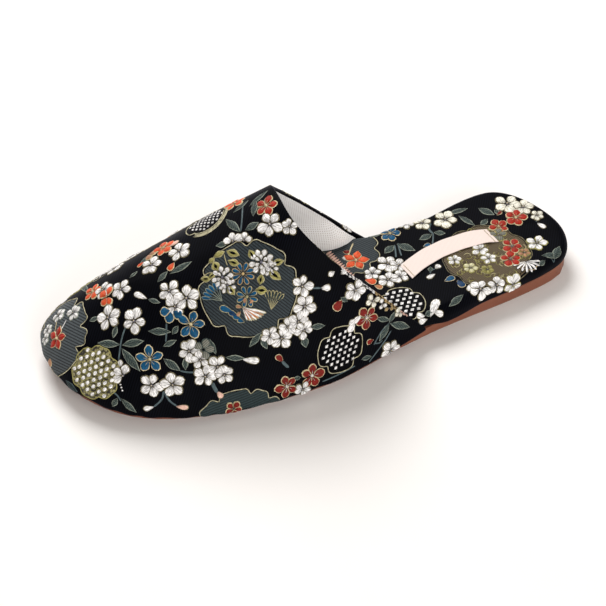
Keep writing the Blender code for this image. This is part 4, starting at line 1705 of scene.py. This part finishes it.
def stitch_label(cloth):
    """A row of small stitches across each end of the tape."""
    slant = Vector(LABEL_SLANT)
    turn = math.degrees(math.atan2(slant.y, slant.x)) + 12
    for end, other in (LABEL_ENDS, LABEL_ENDS[::-1]):
        inward = (Vector(other) - Vector(end)).normalized()
        for k in range(-4, 5):
            at = Vector(end) + inward * 1.5 + slant * (1.08 * k)
            place = cloth.place("top", at.x, at.y, turn)
            lay("cream_edge", BLADE, place, 1.0, 0.45, 0, (-0.5, 0), 0.14)


# ------------------------------------------------------ floor, light and camera

def make_floor():
    put_down()
    bpy.ops.mesh.primitive_plane_add(size=6.0, location=(0, 0, 0))
    floor = bpy.context.object
    floor.name = "pale_floor"
    floor.data.materials.append(floor_finish())


def make_lamp(name, place, aim, size, power, colour):
    lamp = bpy.data.lights.new(name, "AREA")
    lamp.shape = "DISK"
    lamp.size = size
    lamp.energy = power
    lamp.color = colour
    holder = bpy.data.objects.new(name, lamp)
    bpy.context.scene.collection.objects.link(holder)
    holder.location = place
    holder.rotation_euler = (Vector(aim) - Vector(place)).to_track_quat("-Z", "Y").to_euler()


def make_lights():
    make_lamp("high_soft_lamp", (0.02, -0.93, 1.04), (0, 0, 0.02), 0.9, 20.0, (1.0, 0.99, 0.98))
    make_lamp("front_fill_lamp", (-0.16, 1.38, 0.53), (0, 0, 0.02), 1.2, 14.4, (1.0, 0.985, 0.97))
    world = bpy.data.worlds.new("studio")
    world.use_nodes = True
    world.node_tree.nodes["Background"].inputs["Color"].default_value = (1.0, 0.922, 0.852, 1)
    world.node_tree.nodes["Background"].inputs["Strength"].default_value = 0.37
    bpy.context.scene.world = world
    bpy.context.scene.view_settings.view_transform = "Standard"


CAMERA_PLACE = Vector((0.2189, 0.6215, 0.6545))
CAMERA_AIM = Vector((0.0052, -0.0018, 0.0093))
CAMERA_LENS = 117.0
CAMERA_ROLL = -0.66


def make_camera():
    camera = bpy.data.cameras.new("camera")
    camera.lens = CAMERA_LENS
    camera.sensor_width = 36.0
    camera.clip_start = 0.05
    holder = bpy.data.objects.new("camera", camera)
    bpy.context.scene.collection.objects.link(holder)
    holder.location = CAMERA_PLACE
    aim = (CAMERA_AIM - CAMERA_PLACE).to_track_quat("-Z", "Y")
    roll = Matrix.Rotation(math.radians(CAMERA_ROLL), 3, "Z")
    holder.rotation_euler = (aim.to_matrix() @ roll).to_euler()
    bpy.context.scene.camera = holder


# ----------------------------------------------------------------- the making

vamp = make_vamp()
lining = make_lining()
bed = make_footbed()
sole = make_outsole()

vamp_cloth = Cloth("vamp", vamp)
bed_cloth = Cloth("bed", bed)
weave_vamp(vamp_cloth)
weave_bed(bed_cloth)

# the second colour is the painted blue highlight on the satin's ribs
satin = satin_finish("navy_satin", (2, 2, 3), (16, 18, 27))
finish_piece(vamp, satin, "upper")
finish_piece(bed, satin, "footbed")
map_net(lining)
finish_piece(lining, net_lining_finish())
finish_piece(sole, rubber_finish(), "outsole")
finish_threads(vamp_cloth)
finish_threads(bed_cloth)
label_cloth = Cloth("label", make_label(bed_cloth))
stitch_label(label_cloth)
finish_threads(label_cloth)
make_floor()
make_lights()
make_camera()
